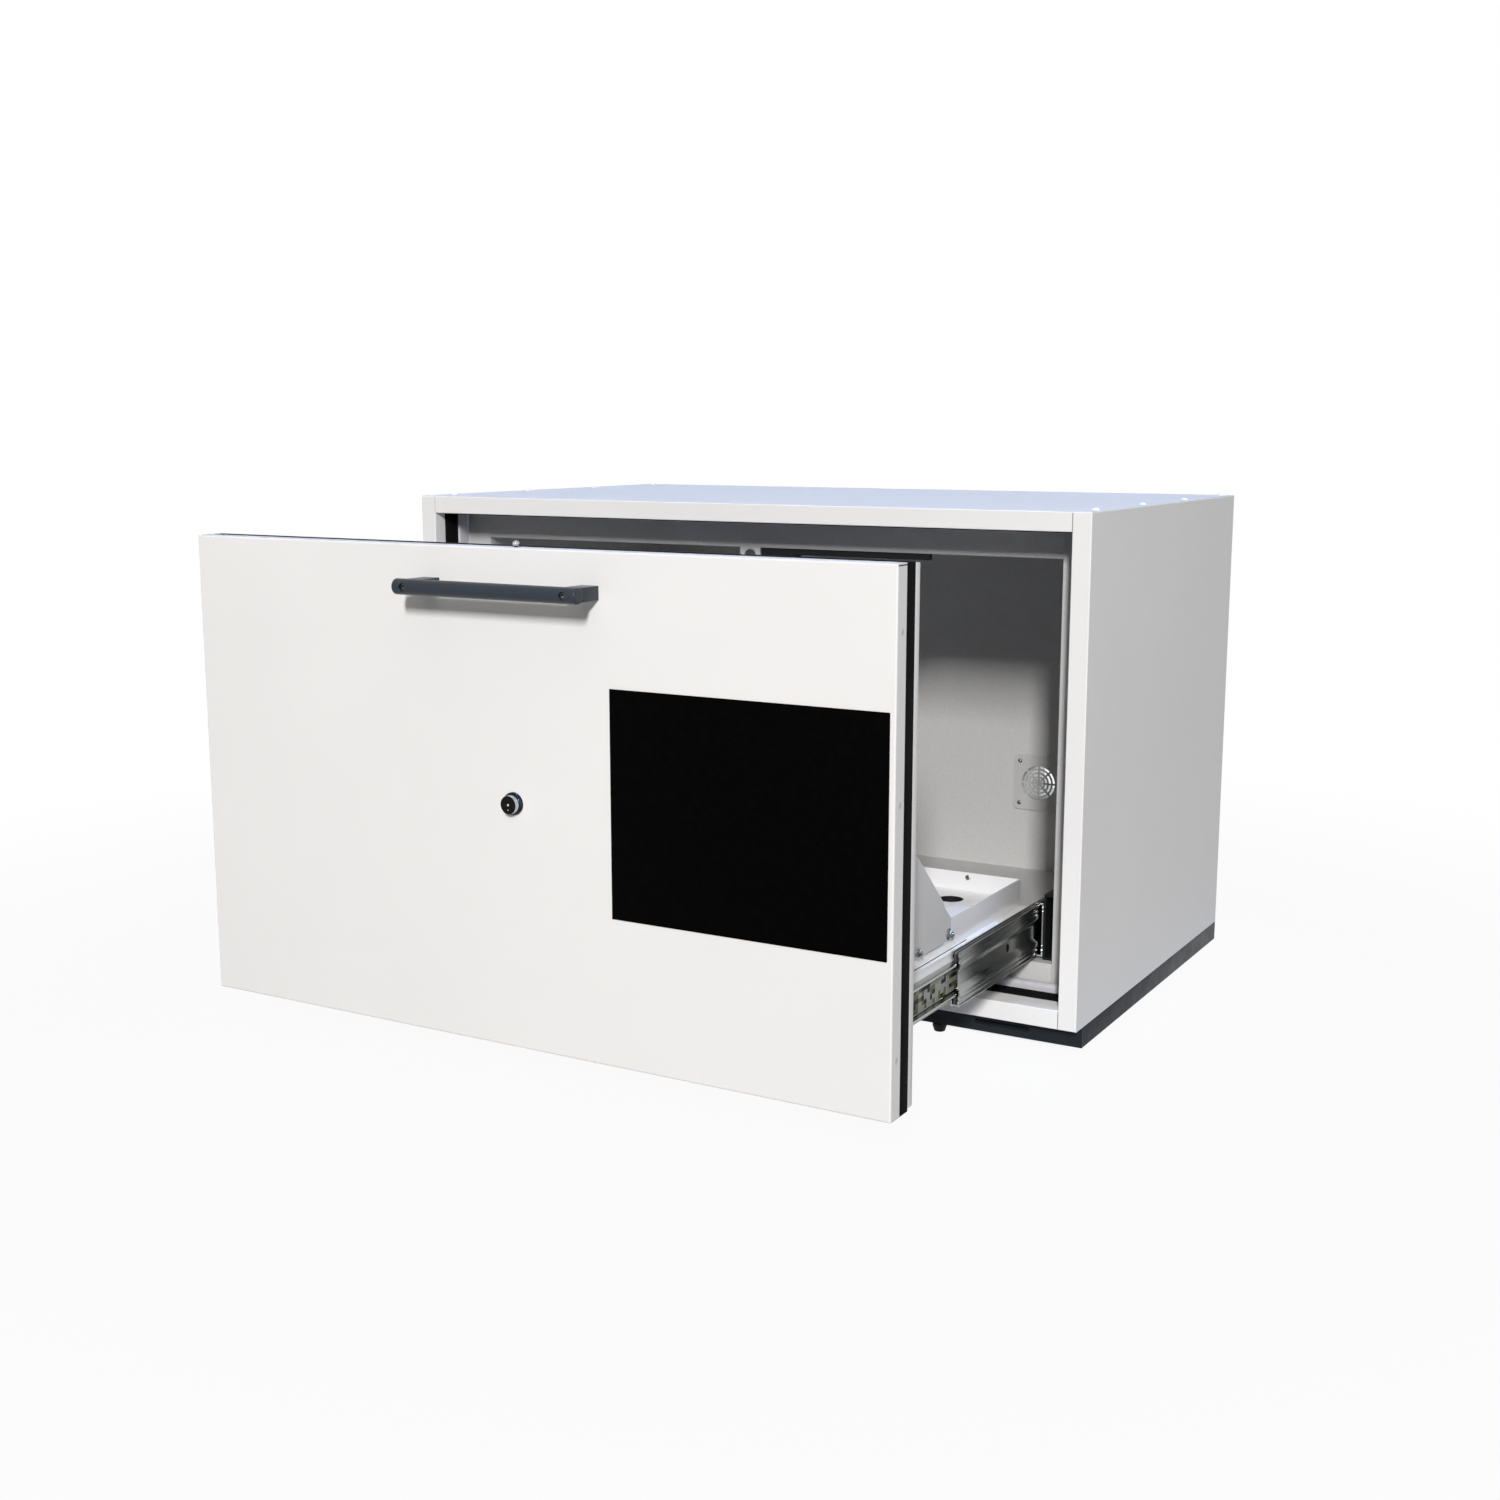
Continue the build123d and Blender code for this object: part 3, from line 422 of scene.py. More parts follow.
def turnedShape(profile, centre, steps, forward=False):
    work = bmesh.new()
    spokes = []
    lay = Matrix.Rotation(radians(90.0), 3, "X") if forward else Matrix.Identity(3)
    for i in range(steps):
        turn = lay @ Matrix.Rotation(radians(360.0 * i / steps), 3, "Z")
        spokes.append([work.verts.new(turn @ Vector((r, 0, z)) + centre) for r, z in profile])
    for i in range(steps):
        for k in range(len(profile) - 1):
            work.faces.new((spokes[i - 1][k], spokes[i][k], spokes[i][k + 1], spokes[i - 1][k + 1]))
    bmesh.ops.remove_doubles(work, verts=work.verts, dist=turnWeld)
    bmesh.ops.recalc_face_normals(work, faces=work.faces)
    return work


def addBlock(work, centre, size):
    place = Matrix.Translation(centre) @ Matrix.Diagonal((*size, 1.0))
    bmesh.ops.create_cube(work, size=1.0, matrix=place)


def ease(work, edges, width, steps):
    bmesh.ops.bevel(work, geom=edges, offset=width * mm, offset_type="OFFSET", segments=steps, profile=0.5,
                    affect="EDGES", clamp_overlap=True)


def nodeMesh(node):
    work = bmesh.new()
    work.from_mesh(frame["nodes"][node].data)
    bmesh.ops.remove_doubles(work, verts=work.verts, dist=nodeWeld)
    return work


# pieces: sheet parts with eased edges, copied from their nodes
easedSheets = {
    "innerFrameStiles": ("inner_frame_stiles", 0.5),
    "innerFrameRails": ("inner_frame_rails", 0.5),
    "plinthFront": ("plinth_front", 0.4),
    "plinthSides": ("plinth_sides", 0.4),
    "plinthRear": ("plinth_rear", 0.4),
    "gussetPlates": ("gussets", 0.4),
    "chassisSides": ("chassis_sides", 0.5),
    "crossBars": ("chassis_cross_bars", 0.6),
    "spillTray": ("spill_tray", 0.45),
    "trayFloor": ("tray_floor_plate", 0.4),
    "innerPlate": ("front_inner_plate", 0.8),
    "labelPlate": ("label_plate", 0.3),
    "handlePosts": ("handle_posts", 0.4),
    "edgeSealSides": ("edge_seal_sides", 0.3),
    "edgeSealRails": ("edge_seal_rails", 0.3),
    "revealSealSides": ("reveal_seal_sides", 0.5),
    "revealSealRails": ("reveal_seal_rails", 0.5),
    "catchBracket": ("catch_bracket", 0.3),
    "catchBlock": ("catch_block", 1.0),
    "slideBrackets": ("slide_brackets", 0.5),
    # the fixed slides keep the painted-shade zinc of their node
    "fixedSlides": ("slide_outer_members", 0.6),
    "footPlates": ("foot_plates", 0.4),
}
easing = {"flat": 0.4, "sharp": 40.0, "steps": 3, "crease": 25.0}


def easedSheet(name, node, width, s):
    work = nodeMesh(node)
    bmesh.ops.dissolve_limit(work, angle_limit=radians(s["flat"]), verts=work.verts, edges=work.edges)
    sharp = radians(s["sharp"])
    corners = [e for e in work.edges if len(e.link_faces) == 2 and e.calc_face_angle(0.0) > sharp]
    ease(work, corners, width, s["steps"])
    bmesh.ops.triangulate(work, faces=[f for f in work.faces if len(f.verts) > 4])
    addPiece(name, work, finishOf(node), bodyOf[node], nodeSlot[node], node, crease=s["crease"])


for pieceName, (node, width) in easedSheets.items():
    easedSheet(pieceName, node, width, easing)
print("eased sheets:", len(easedSheets))


# pieces: middle slides, a rolled section with ball races along both edges
middleSlide = {
    "upper": [
        (-2.8, 8.8, 1.4), (0.0, 13.6, 1.4), (0.0, 18.6, 0.4), (-1.0, 19.5, 0.5), (-1.0, 20.9, 0.5),
        (0.0, 21.8, 0.4), (0.0, 23.2, 0.4), (-1.4, 24.4, 0.6), (-1.4, 26.2, 0.6), (0.0, 27.3, 0.4),
        (0.0, 29.25, 0.7), (-2.3, 29.25, 0.3), (-2.6, 27.65, 0.2), (-4.4, 27.65, 0.2), (-4.7, 29.25, 0.3),
        (-5.9, 29.25, 0.3), (-6.2, 27.65, 0.2), (-8.0, 27.65, 0.2), (-8.3, 29.25, 0.3), (-10.4, 29.25, 0.9),
        (-10.4, 22.4, 0.7), (-8.9, 22.4, 0.7), (-8.9, 27.3, 0.9), (-1.6, 27.3, 0.2), (-2.9, 26.4, 0.5),
        (-2.9, 24.2, 0.5), (-1.6, 23.0, 0.5), (-1.6, 22.0, 0.5), (-2.5, 21.2, 0.5), (-2.5, 19.3, 0.5),
        (-1.6, 18.4, 0.5), (-1.6, 13.9, 1.2), (-4.3, 9.2, 1.4),
    ],
    "holeRadius": 5.0,
    "holeBack": 75.8,
    "holeLength": 12.0,
    "holeSides": 24,
}


def middleLoop(s, edge, level):
    upper = s["upper"]
    lower = [(x, -z, r) for x, z, r in reversed(upper)]
    return roundedLoop([(edge + x * mm, level + z * mm, r * mm) for x, z, r in lower + upper])


def cutRound(piece, centre, s):
    work = bmesh.new()
    turn = Matrix.Translation(centre) @ Matrix.Rotation(radians(90.0), 4, "Y")
    radius = s["holeRadius"] * mm
    bmesh.ops.create_cone(work, cap_ends=True, segments=s["holeSides"], radius1=radius, radius2=radius,
                          depth=s["holeLength"] * mm, matrix=turn)
    tool = putInScene("holeTool", plainMesh(work, "holeTool"))
    cut = piece.modifiers.new("hole", "BOOLEAN")
    cut.object = tool
    cut.operation = "DIFFERENCE"
    cut.solver = "EXACT"
    takeMesh(piece)
    bpy.data.objects.remove(tool)


def makeMiddle(side, s):
    low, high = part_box("slide_middle_right")
    level = (low.z + high.z) / 2
    work = drawnSection(middleLoop(s, high.x, level), low.y, high.y)
    hole = Vector((high.x, (low.y + high.y) / 2 - s["holeBack"] * mm, level))
    if side == "Left":
        mirrored(work)
        hole.x = -hole.x
    name = "middleSlide" + side
    piece = putInScene(name, meshFrom(work, name))
    piece.data.materials.append(finishes["zincPlate"])
    cutRound(piece, hole, s)
    piece.data.set_sharp_from_angle(angle=radians(creaseAngle))
    settle(piece, "slide_" + side.lower(), "zinc_steel", "slide_middle_" + side.lower())


for side in ("Right", "Left"):
    makeMiddle(side, middleSlide)
print("middle slides made")


# ways of growing a piece from points with a node tree
def startTree(name, sizes):
    tree = bpy.data.node_groups.new(name, "GeometryNodeTree")
    tree.interface.new_socket("Geometry", in_out="INPUT", socket_type="NodeSocketGeometry")
    keys = {}
    for label, value in sizes.items():
        kind = "NodeSocketInt" if isinstance(value, int) else "NodeSocketFloat"
        keys[label] = tree.interface.new_socket(label, in_out="INPUT", socket_type=kind).identifier
    tree.interface.new_socket("Geometry", in_out="OUTPUT", socket_type="NodeSocketGeometry")
    return tree, addNode(tree, "NodeGroupInput").outputs, keys


def painted(tree, geometry, finish, where=None):
    inputs = {"Geometry": geometry, "Material": finishes[finish]}
    if where is not None:
        inputs["Selection"] = where
    return addNode(tree, "GeometryNodeSetMaterial", inputs).outputs["Geometry"]


def endTree(tree, geometry, finish):
    smooth = addNode(tree, "GeometryNodeSetShadeSmooth", {"Geometry": geometry})
    whole = addNode(tree, "GeometryNodeRealizeInstances", {"Geometry": smooth.outputs["Geometry"]})
    addNode(tree, "NodeGroupOutput", {0: painted(tree, whole.outputs["Geometry"], finish)})


def onPoints(tree, points, shape, turned=True):
    inputs = {"Points": points, "Instance": shape}
    if turned:
        field = addNode(tree, "GeometryNodeInputNamedAttribute", {"Name": "facing"}, data_type="FLOAT_VECTOR")
        facing = {"Vector": field.outputs["Attribute"]}
        align = addNode(tree, "FunctionNodeAlignRotationToVector", facing, axis="Z")
        inputs["Rotation"] = align.outputs["Rotation"]
    return addNode(tree, "GeometryNodeInstanceOnPoints", inputs).outputs["Instances"]


def growPiece(name, spots, facing, made, crease=creaseAngle):
    tree, keys, sizes = made
    mesh = bpy.data.meshes.new(name)
    mesh.from_pydata(spots, [], [])
    if facing:
        field = mesh.attributes.new("facing", "FLOAT_VECTOR", "POINT")
        field.data.foreach_set("vector", [c for direction in facing for c in direction])
    piece = putInScene(name, mesh)
    grow = piece.modifiers.new("grow", "NODES")
    grow.node_group = tree
    for label, value in sizes.items():
        grow[keys[label]] = value
    takeMesh(piece)
    piece.data.set_sharp_from_angle(angle=radians(crease))
    return piece


# pieces: ball cages, a strip in each race with two rows of balls
cageSettings = {"inset": 1.2, "rise": 0.5, "ballRadius": 2.45, "ballDetail": 2, "pitch": 14.0,
                "rowShare": 0.26, "gap": 6.0, "ease": 0.4, "easeSteps": 2}


def ballTree(s):
    sizes = {"Ball Radius": s["ballRadius"] * mm}
    tree, given, keys = startTree("cageBalls", sizes)
    inputs = {"Subdivisions": s["ballDetail"], "Radius": given["Ball Radius"]}
    ball = addNode(tree, "GeometryNodeMeshIcoSphere", inputs).outputs["Mesh"]
    endTree(tree, onPoints(tree, given["Geometry"], ball, turned=False), "ballSteel")
    return tree, keys, sizes


def makeCages(side, s, made):
    node = "ball_cages_" + side.lower()
    low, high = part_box(node)
    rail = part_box("slide_drawer_members")
    level = (low.z + high.z) / 2
    inner = rail[1].z - level
    tall = high.z - level - inner
    middle = (low.x + high.x) / 2
    size = (high.x - low.x - 2 * s["inset"] * mm, high.y - low.y, tall - 2 * s["rise"] * mm)
    count = int((high.y - low.y - 2 * s["gap"] * mm) / (s["pitch"] * mm))
    work = bmesh.new()
    spots = []
    for way in (-1, 1):
        centre = Vector((middle, (low.y + high.y) / 2, level + way * (inner + tall / 2)))
        addBlock(work, centre, size)
        for row in (-1, 1):
            up = centre.z + row * tall * s["rowShare"]
            spots += [(middle, low.y + (s["gap"] + s["pitch"] * (k + 0.5)) * mm, up) for k in range(count)]
    ease(work, work.edges[:], s["ease"], s["easeSteps"])
    body = "slide_" + side.lower()
    addPiece("cageStrips" + side, work, "cageGrey", body, "cage_grey", node)
    settle(growPiece("cageBalls" + side, spots, None, made), body, "zinc_steel")


cageBalls = ballTree(cageSettings)
for side in ("Right", "Left"):
    makeCages(side, cageSettings, cageBalls)
print("ball cages made")


# pieces: drawer rails, a rolled channel with a pressed web of small cells
# half lists the section's lower half: the end it is measured from, across, up and rounding
drawerRail = {
    "half": [("back", 0.0, 0.0, 1.6), ("front", 0.0, 0.0, 0.7), ("front", 0.0, 2.7, 0.5),
             ("front", -0.9, 2.7, 0.4), ("front", -1.6, 1.5, 0.6), ("back", 1.5, 1.5, 0.6)],
    "sheet": 1.5,
    "cellLength": 6.6,
    "cellHeight": 4.6,
    "cellDepth": 0.6,
    "cellShare": 0.5,
    "darkShare": 0.22,
    "seed": 7,
    "edge": 1.6,
    "crease": 20.0,
}


def railLoop(s, low, high):
    ends = {"back": low.x, "front": high.x}
    lower = [(ends[end] + x * mm, low.z + z * mm, r * mm) for end, x, z, r in s["half"]]
    upper = [(ends[end] + x * mm, high.z - z * mm, r * mm) for end, x, z, r in reversed(s["half"])]
    return roundedLoop(lower + upper)


def chance(tree, given, label):
    inputs = {"Probability": given[label], "Seed": given["Seed"]}
    return addNode(tree, "FunctionNodeRandomValue", inputs, data_type="BOOLEAN").outputs[3]


def bothOf(tree, first, second):
    return addNode(tree, "FunctionNodeBooleanMath", {0: first, 1: second}, operation="AND").outputs["Boolean"]


def isOver(tree, first, second):
    inputs = {"A": first, "B": second}
    test = addNode(tree, "FunctionNodeCompare", inputs, data_type="FLOAT", operation="GREATER_THAN")
    return test.outputs["Result"]


# the cells are painted grey, with olive and black pockets that are painted reflection in the web
def cellTree(sizes):
    tree, given, keys = startTree("railCells", sizes)
    slab = addNode(tree, "GeometryNodeMeshCube", {
        "Size": joinAxes(tree, X=given["Thick"], Y=given["Long"], Z=given["Tall"]),
        "Vertices X": 2,
        "Vertices Y": given["Columns"],
        "Vertices Z": given["Rows"],
    })
    normal = addNode(tree, "GeometryNodeInputNormal").outputs["Normal"]
    front = isOver(tree, splitAxes(tree, normal)["X"], 0.5)
    press = addNode(tree, "GeometryNodeExtrudeMesh", {
        "Mesh": slab.outputs["Mesh"],
        "Selection": bothOf(tree, front, chance(tree, given, "Share")),
        "Offset Scale": maths(tree, "MULTIPLY", given["Depth"], -1.0),
        "Individual": False,
    }, mode="FACES")
    keep = addNode(tree, "GeometryNodeStoreNamedAttribute", {
        "Geometry": press.outputs["Mesh"],
        "Name": "pocket",
        "Value": press.outputs["Top"],
    }, data_type="BOOLEAN", domain="FACE")
    placed = onPoints(tree, given["Geometry"], keep.outputs["Geometry"])
    whole = addNode(tree, "GeometryNodeRealizeInstances", {"Geometry": placed})
    field = addNode(tree, "GeometryNodeInputNamedAttribute", {"Name": "pocket"}, data_type="BOOLEAN")
    pocket = field.outputs["Attribute"]
    cells = painted(tree, whole.outputs["Geometry"], "cellGrey")
    # olive and black pockets: painted reflection
    cells = painted(tree, cells, "cellOlive", pocket)
    cells = painted(tree, cells, "blackPlastic", bothOf(tree, pocket, chance(tree, given, "Dark Share")))
    addNode(tree, "NodeGroupOutput", {0: cells})
    return tree, keys, sizes


def makeRails(s):
    low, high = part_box("slide_drawer_members")
    web = min(abs(v.co.x) for v in frame["nodes"]["slide_drawer_members"].data.vertices)
    loop = railLoop(s, Vector((web, low.y, low.z)), high)
    work = drawnPair(loop, low.y, high.y, ways=(1, -1))
    addPiece("drawerRails", work, "zincPlate", "drawer", "zinc_steel", "slide_drawer_members")
    tall = high.z - low.z - 2 * (s["sheet"] + s["edge"]) * mm
    sizes = {
        "Long": high.y - low.y - 2 * s["edge"] * mm,
        "Tall": tall,
        "Thick": s["sheet"] * mm,
        "Columns": int((high.y - low.y) / (s["cellLength"] * mm)),
        "Rows": int(tall / (s["cellHeight"] * mm)) + 1,
        "Share": s["cellShare"],
        "Dark Share": s["darkShare"],
        "Depth": s["cellDepth"] * mm,
        "Seed": s["seed"],
    }
    face = web + s["sheet"] * mm
    spots = [(x, (low.y + high.y) / 2, (low.z + high.z) / 2) for x in (face, -face)]
    cells = growPiece("railCells", spots, [(0, 0, 1)] * 2, cellTree(sizes), s["crease"])
    settle(cells, "drawer", "zinc_steel")


makeRails(drawerRail)
print("drawer rails made")


# pieces: screws, plugs, rivets and nuts
headForm = {"sides": 20, "steps": 4, "curve": 2.5, "crossReach": 1.15, "socketSides": 6}


def headShape(tree, given, s):
    barrel = addNode(tree, "GeometryNodeMeshCylinder", {
        "Vertices": s["sides"],
        "Side Segments": s["steps"],
        "Radius": given["Radius"],
        "Depth": given["Height"],
    })
    x, y, z = splitAxes(tree, addNode(tree, "GeometryNodeInputPosition").outputs[0])
    level = maths(tree, "ADD", maths(tree, "DIVIDE", z, given["Height"]), 0.5)
    pull = maths(tree, "MULTIPLY", maths(tree, "POWER", level, s["curve"]), given["Crown"])
    inward = {0: joinAxes(tree, X=x, Y=y), "Scale": maths(tree, "MULTIPLY", pull, -1.0)}
    shift = addNode(tree, "ShaderNodeVectorMath", inward, operation="SCALE").outputs[0]
    crowned = {"Geometry": barrel.outputs["Mesh"], "Offset": shift}
    return addNode(tree, "GeometryNodeSetPosition", crowned).outputs["Geometry"]


def raised(tree, shape, height):
    lift = joinAxes(tree, Z=maths(tree, "MULTIPLY", height, 0.5))
    inputs = {"Geometry": shape, "Translation": lift}
    return addNode(tree, "GeometryNodeTransform", inputs).outputs["Geometry"]


def cutWith(tree, shape, tool):
    inputs = {"Mesh 1": shape, "Mesh 2": tool}
    cut = addNode(tree, "GeometryNodeMeshBoolean", inputs, operation="DIFFERENCE", solver="EXACT")
    return cut.outputs["Mesh"]


def crossTool(tree, given, s, turned):
    along, across = ("Y", "X") if turned else ("X", "Y")
    wide = maths(tree, "MULTIPLY", given["Radius"], s["crossReach"])
    deep = maths(tree, "MULTIPLY", given["Recess"], 2.0)
    size = joinAxes(tree, **{along: wide, across: given["Slot"], "Z": deep})
    bar = addNode(tree, "GeometryNodeMeshCube", {"Size": size})
    return raised(tree, bar.outputs["Mesh"], given["Height"])


def socketTool(tree, given, s):
    deep = maths(tree, "MULTIPLY", given["Recess"], 2.0)
    inputs = {"Vertices": s["socketSides"], "Radius": given["Slot"], "Depth": deep}
    bar = addNode(tree, "GeometryNodeMeshCylinder", inputs)
    return raised(tree, bar.outputs["Mesh"], given["Height"])


def headTree(name, finish, recess, s):
    sizes = {"Radius": s["radius"] * mm, "Height": s["height"] * mm, "Crown": s["crown"]}
    if recess:
        sizes.update({"Slot": s["slot"] * mm, "Recess": s["recess"] * mm})
    tree, given, keys = startTree(name, sizes)
    shape = headShape(tree, given, headForm)
    if recess == "cross":
        for turned in (False, True):
            shape = cutWith(tree, shape, crossTool(tree, given, headForm, turned))
    if recess == "socket":
        shape = cutWith(tree, shape, socketTool(tree, given, headForm))
    endTree(tree, onPoints(tree, given["Geometry"], shape), finish)
    return tree, keys, sizes


def islandBoxes(node):
    work = nodeMesh(node)
    left = set(work.verts)
    boxes = []
    while left:
        stack = [left.pop()]
        found = []
        while stack:
            vert = stack.pop()
            found.append(vert.co.copy())
            for edge in vert.link_edges:
                other = edge.other_vert(vert)
                if other in left:
                    left.remove(other)
                    stack.append(other)
        boxes.append([Vector(f(p[i] for p in found) for i in range(3)) for f in (min, max)])
    work.free()
    return sorted(boxes, key=lambda b: tuple(round(c, 5) for c in b[0]))


cabinetScrews = {
    "topScrews": {"radius": 4.4, "height": 2.2, "crown": 0.42, "slot": 1.3, "recess": 0.9},
    "smallScrews": {"radius": 3.0, "height": 1.4, "crown": 0.4, "slot": 0.9, "recess": 0.7},
}


def makeCabinetScrews(s):
    groups = {"topScrews": [], "revealScrews": [], "grilleScrews": []}
    for low, high in islandBoxes("cabinet_screws"):
        size = high - low
        centre = (low + high) / 2
        inward = (-1 if centre.x > 0 else 1, 0, 0)
        kinds = (("revealScrews", inward), ("grilleScrews", (0, -1, 0)), ("topScrews", (0, 0, 1)))
        name, way = kinds[min(range(3), key=lambda i: size[i])]
        groups[name].append((centre, way))
    for name, finish, slot, size in (("topScrews", "screwCoat", "white_screw", "topScrews"),
                                     ("revealScrews", "screwCoat", "white_screw", "smallScrews"),
                                     ("grilleScrews", "zincPlate", "zinc_steel", "smallScrews")):
        spots, ways = zip(*groups[name])
        piece = growPiece(name, spots, ways, headTree(name, finish, "cross", s[size]))
        settle(piece, "cabinet", slot, "cabinet_screws")


makeCabinetScrews(cabinetScrews)

handleScrew = {"radius": 3.6, "height": 3.0, "crown": 0.06, "slot": 2.0, "recess": 1.9}


def makeHandleScrews(s):
    spots = []
    for low, high in islandBoxes("handle_screws"):
        centre = (low + high) / 2
        spots.append((centre.x, low.y + s["height"] * mm / 2, centre.z))
    # the handle screws take the painted-shade steel
    made = headTree("handleScrews", "screwSteel", "socket", s)
    piece = growPiece("handleScrews", spots, [(0, -1, 0)] * len(spots), made)
    settle(piece, "drawer", "zinc_steel", "handle_screws")


makeHandleScrews(handleScrew)

flankPlug = {"radius": 3.6, "height": 0.8, "crown": 0.25, "proud": 0.35, "back": 9.8,
             "levels": (512.0, 358.0, 122.0)}


def makeFlankPlugs(s):
    low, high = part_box("front_skin")
    edge = high.x + (s["proud"] - s["height"] / 2) * mm
    spots = []
    ways = []
    for way in (-1, 1):
        for level in s["levels"]:
            spots.append((way * edge, low.y + s["back"] * mm, level * mm))
            ways.append((way, 0, 0))
    # the plugs take the painted-shade grey
    piece = growPiece("flankPlugs", spots, ways, headTree("flankPlugs", "plugCoat", "", s))
    settle(piece, "drawer", "white_paint")


makeFlankPlugs(flankPlug)

rearScrew = {"radius": 3.8, "height": 1.7, "crown": 0.42, "slot": 1.1, "recess": 0.8, "inset": 13.0,
             "across": 7, "up": 5, "flange": 29.5, "flangeSheet": 2.0, "perFlange": 4, "firstTurn": 45.0}


def makeRearScrews(s):
    low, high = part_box("back_skin")
    edge = s["inset"] * mm
    rise = s["height"] * mm / 2
    spots = []
    for i in range(s["across"]):
        x = low.x + edge + (high.x - low.x - 2 * edge) * i / (s["across"] - 1)
        spots += [(x, high.y + rise, low.z + edge), (x, high.y + rise, high.z - edge)]
    for i in range(1, s["up"] - 1):
        z = low.z + edge + (high.z - low.z - 2 * edge) * i / (s["up"] - 1)
        spots += [(low.x + edge, high.y + rise, z), (high.x - edge, high.y + rise, z)]
    for side in ("right", "left"):
        first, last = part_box(side + "_air_spigot")
        centre = (first + last) / 2
        for i in range(s["perFlange"]):
            turn = radians(s["firstTurn"] + 360.0 / s["perFlange"] * i)
            arm = Matrix.Rotation(turn, 3, "Y") @ Vector((s["flange"] * mm, 0, 0))
            spots.append((centre.x + arm.x, high.y + s["flangeSheet"] * mm + rise, centre.z + arm.z))
    made = headTree("rearScrews", "zincPlate", "cross", s)
    piece = growPiece("rearScrews", spots, [(0, 1, 0)] * len(spots), made)
    settle(piece, "cabinet", "zinc_steel")


makeRearScrews(rearScrew)
print("screws made")


# pieces: gusset bolts with washer, nut and stud, and the rivets of the tray
gussetBolt = {"Washer Radius": 6.2, "Washer Height": 1.2, "Nut Radius": 4.6, "Nut Height": 3.6,
              "Stud Radius": 2.5, "Stud Height": 6.6}
boltForm = {"steps": 4, "topShare": 0.99, "sides": {"Washer": 24, "Nut": 6, "Stud": 14},
            "crown": {"Washer": 0.06, "Nut": 0.1, "Stud": 0.2}}
trayRivet = {"radius": 3.2, "height": 1.2, "crown": 0.55}
fixingSort = {"rivetUnder": 2.0, "boltOver": 12.0}


def roundBar(tree, radius, height, label, s):
    bar = addNode(tree, "GeometryNodeMeshCylinder", {
        "Vertices": s["sides"][label], "Side Segments": s["steps"], "Radius": radius, "Depth": height})
    place = addNode(tree, "GeometryNodeInputPosition").outputs[0]
    near = maths(tree, "MULTIPLY", height, s["topShare"])
    crown = -s["crown"][label]
    pull = addNode(tree, "ShaderNodeVectorMath", {0: place, 1: (crown, crown, 0.0)}, operation="MULTIPLY")
    return addNode(tree, "GeometryNodeSetPosition", {
        "Geometry": raised(tree, bar.outputs["Mesh"], height),
        "Selection": isOver(tree, splitAxes(tree, place)["Z"], near),
        "Offset": pull.outputs[0],
    }).outputs["Geometry"]


def boltTree(s, form):
    sizes = {label: value * mm for label, value in s.items()}
    tree, given, keys = startTree("gussetBolts", sizes)
    heights = {
        "Washer": given["Washer Height"],
        "Nut": maths(tree, "ADD", given["Washer Height"], given["Nut Height"]),
        "Stud": given["Stud Height"],
    }
    join = addNode(tree, "GeometryNodeJoinGeometry")
    for label, height in heights.items():
        feed(tree, join, {0: roundBar(tree, given[label + " Radius"], height, label, form)})
    endTree(tree, onPoints(tree, given["Geometry"], join.outputs["Geometry"]), "zincPlate")
    return tree, keys, sizes


def makeFixings(bolt, form, rivet, sort):
    bolts = []
    rivets = []
    for low, high in islandBoxes("drawer_fixings"):
        centre = (low + high) / 2
        way = 1 if centre.x > 0 else -1
        if high.y - low.y < sort["rivetUnder"] * mm:
            rivets.append((centre, (0, -1, 0)))
        elif high.y - low.y > sort["boltOver"] * mm:
            bolts.append((Vector((low.x if way > 0 else high.x, centre.y, centre.z)), (way, 0, 0)))
    for name, places, made in (("gussetBolts", bolts, boltTree(bolt, form)),
                               ("trayRivets", rivets, headTree("trayRivets", "zincPlate", "", rivet))):
        piece = growPiece(name, *zip(*places), made)
        settle(piece, "drawer", "zinc_steel", "drawer_fixings")
    print("fixings:", len(bolts), "bolts and", len(rivets), "rivets")


makeFixings(gussetBolt, boltForm, trayRivet, fixingSort)


# pieces: lock, a collar in chrome darkened with painted dark reflection, a pale barrel with a black rim, and
# the key core in the plug
# a curve's rows add to the radius, and to the share of the collar or the end of the barrel
# dot and shutter give a radius, a share of it for the height, and how far it is sunk
lockSettings = {
    "collar": 11.7,
    "collarLength": 4.0,
    "collarCurve": [(0.0, 0.35), (-0.3, 0.65), (-1.0, 0.9), (-1.7, 1.0)],
    "barrel": 9.4,
    "barrelCurve": [(0.0, -0.6), (-0.15, -0.25), (-0.4, -0.05), (-0.5, 0.0)],
    "bore": 8.35,
    "back": 6.0,
    "rim": 0.28,
    "steps": 56,
    "dot": (0.7, 0.35, 0.1),
    "dotDrop": 5.0,
    "shutter": (1.5, 0.6, 0.5),
    "beadSteps": 18,
    "beadTurn": 15,
}


def bead(s, key, centre):
    radius, share, sunk = s[key]
    angles = [radians(a) for a in range(-90, 91, s["beadTurn"])]
    dome = [(radius * cos(a), radius * share * sin(a) - sunk) for a in angles]
    return turnedShape(inMetres(dome), centre, s["beadSteps"], forward=True)


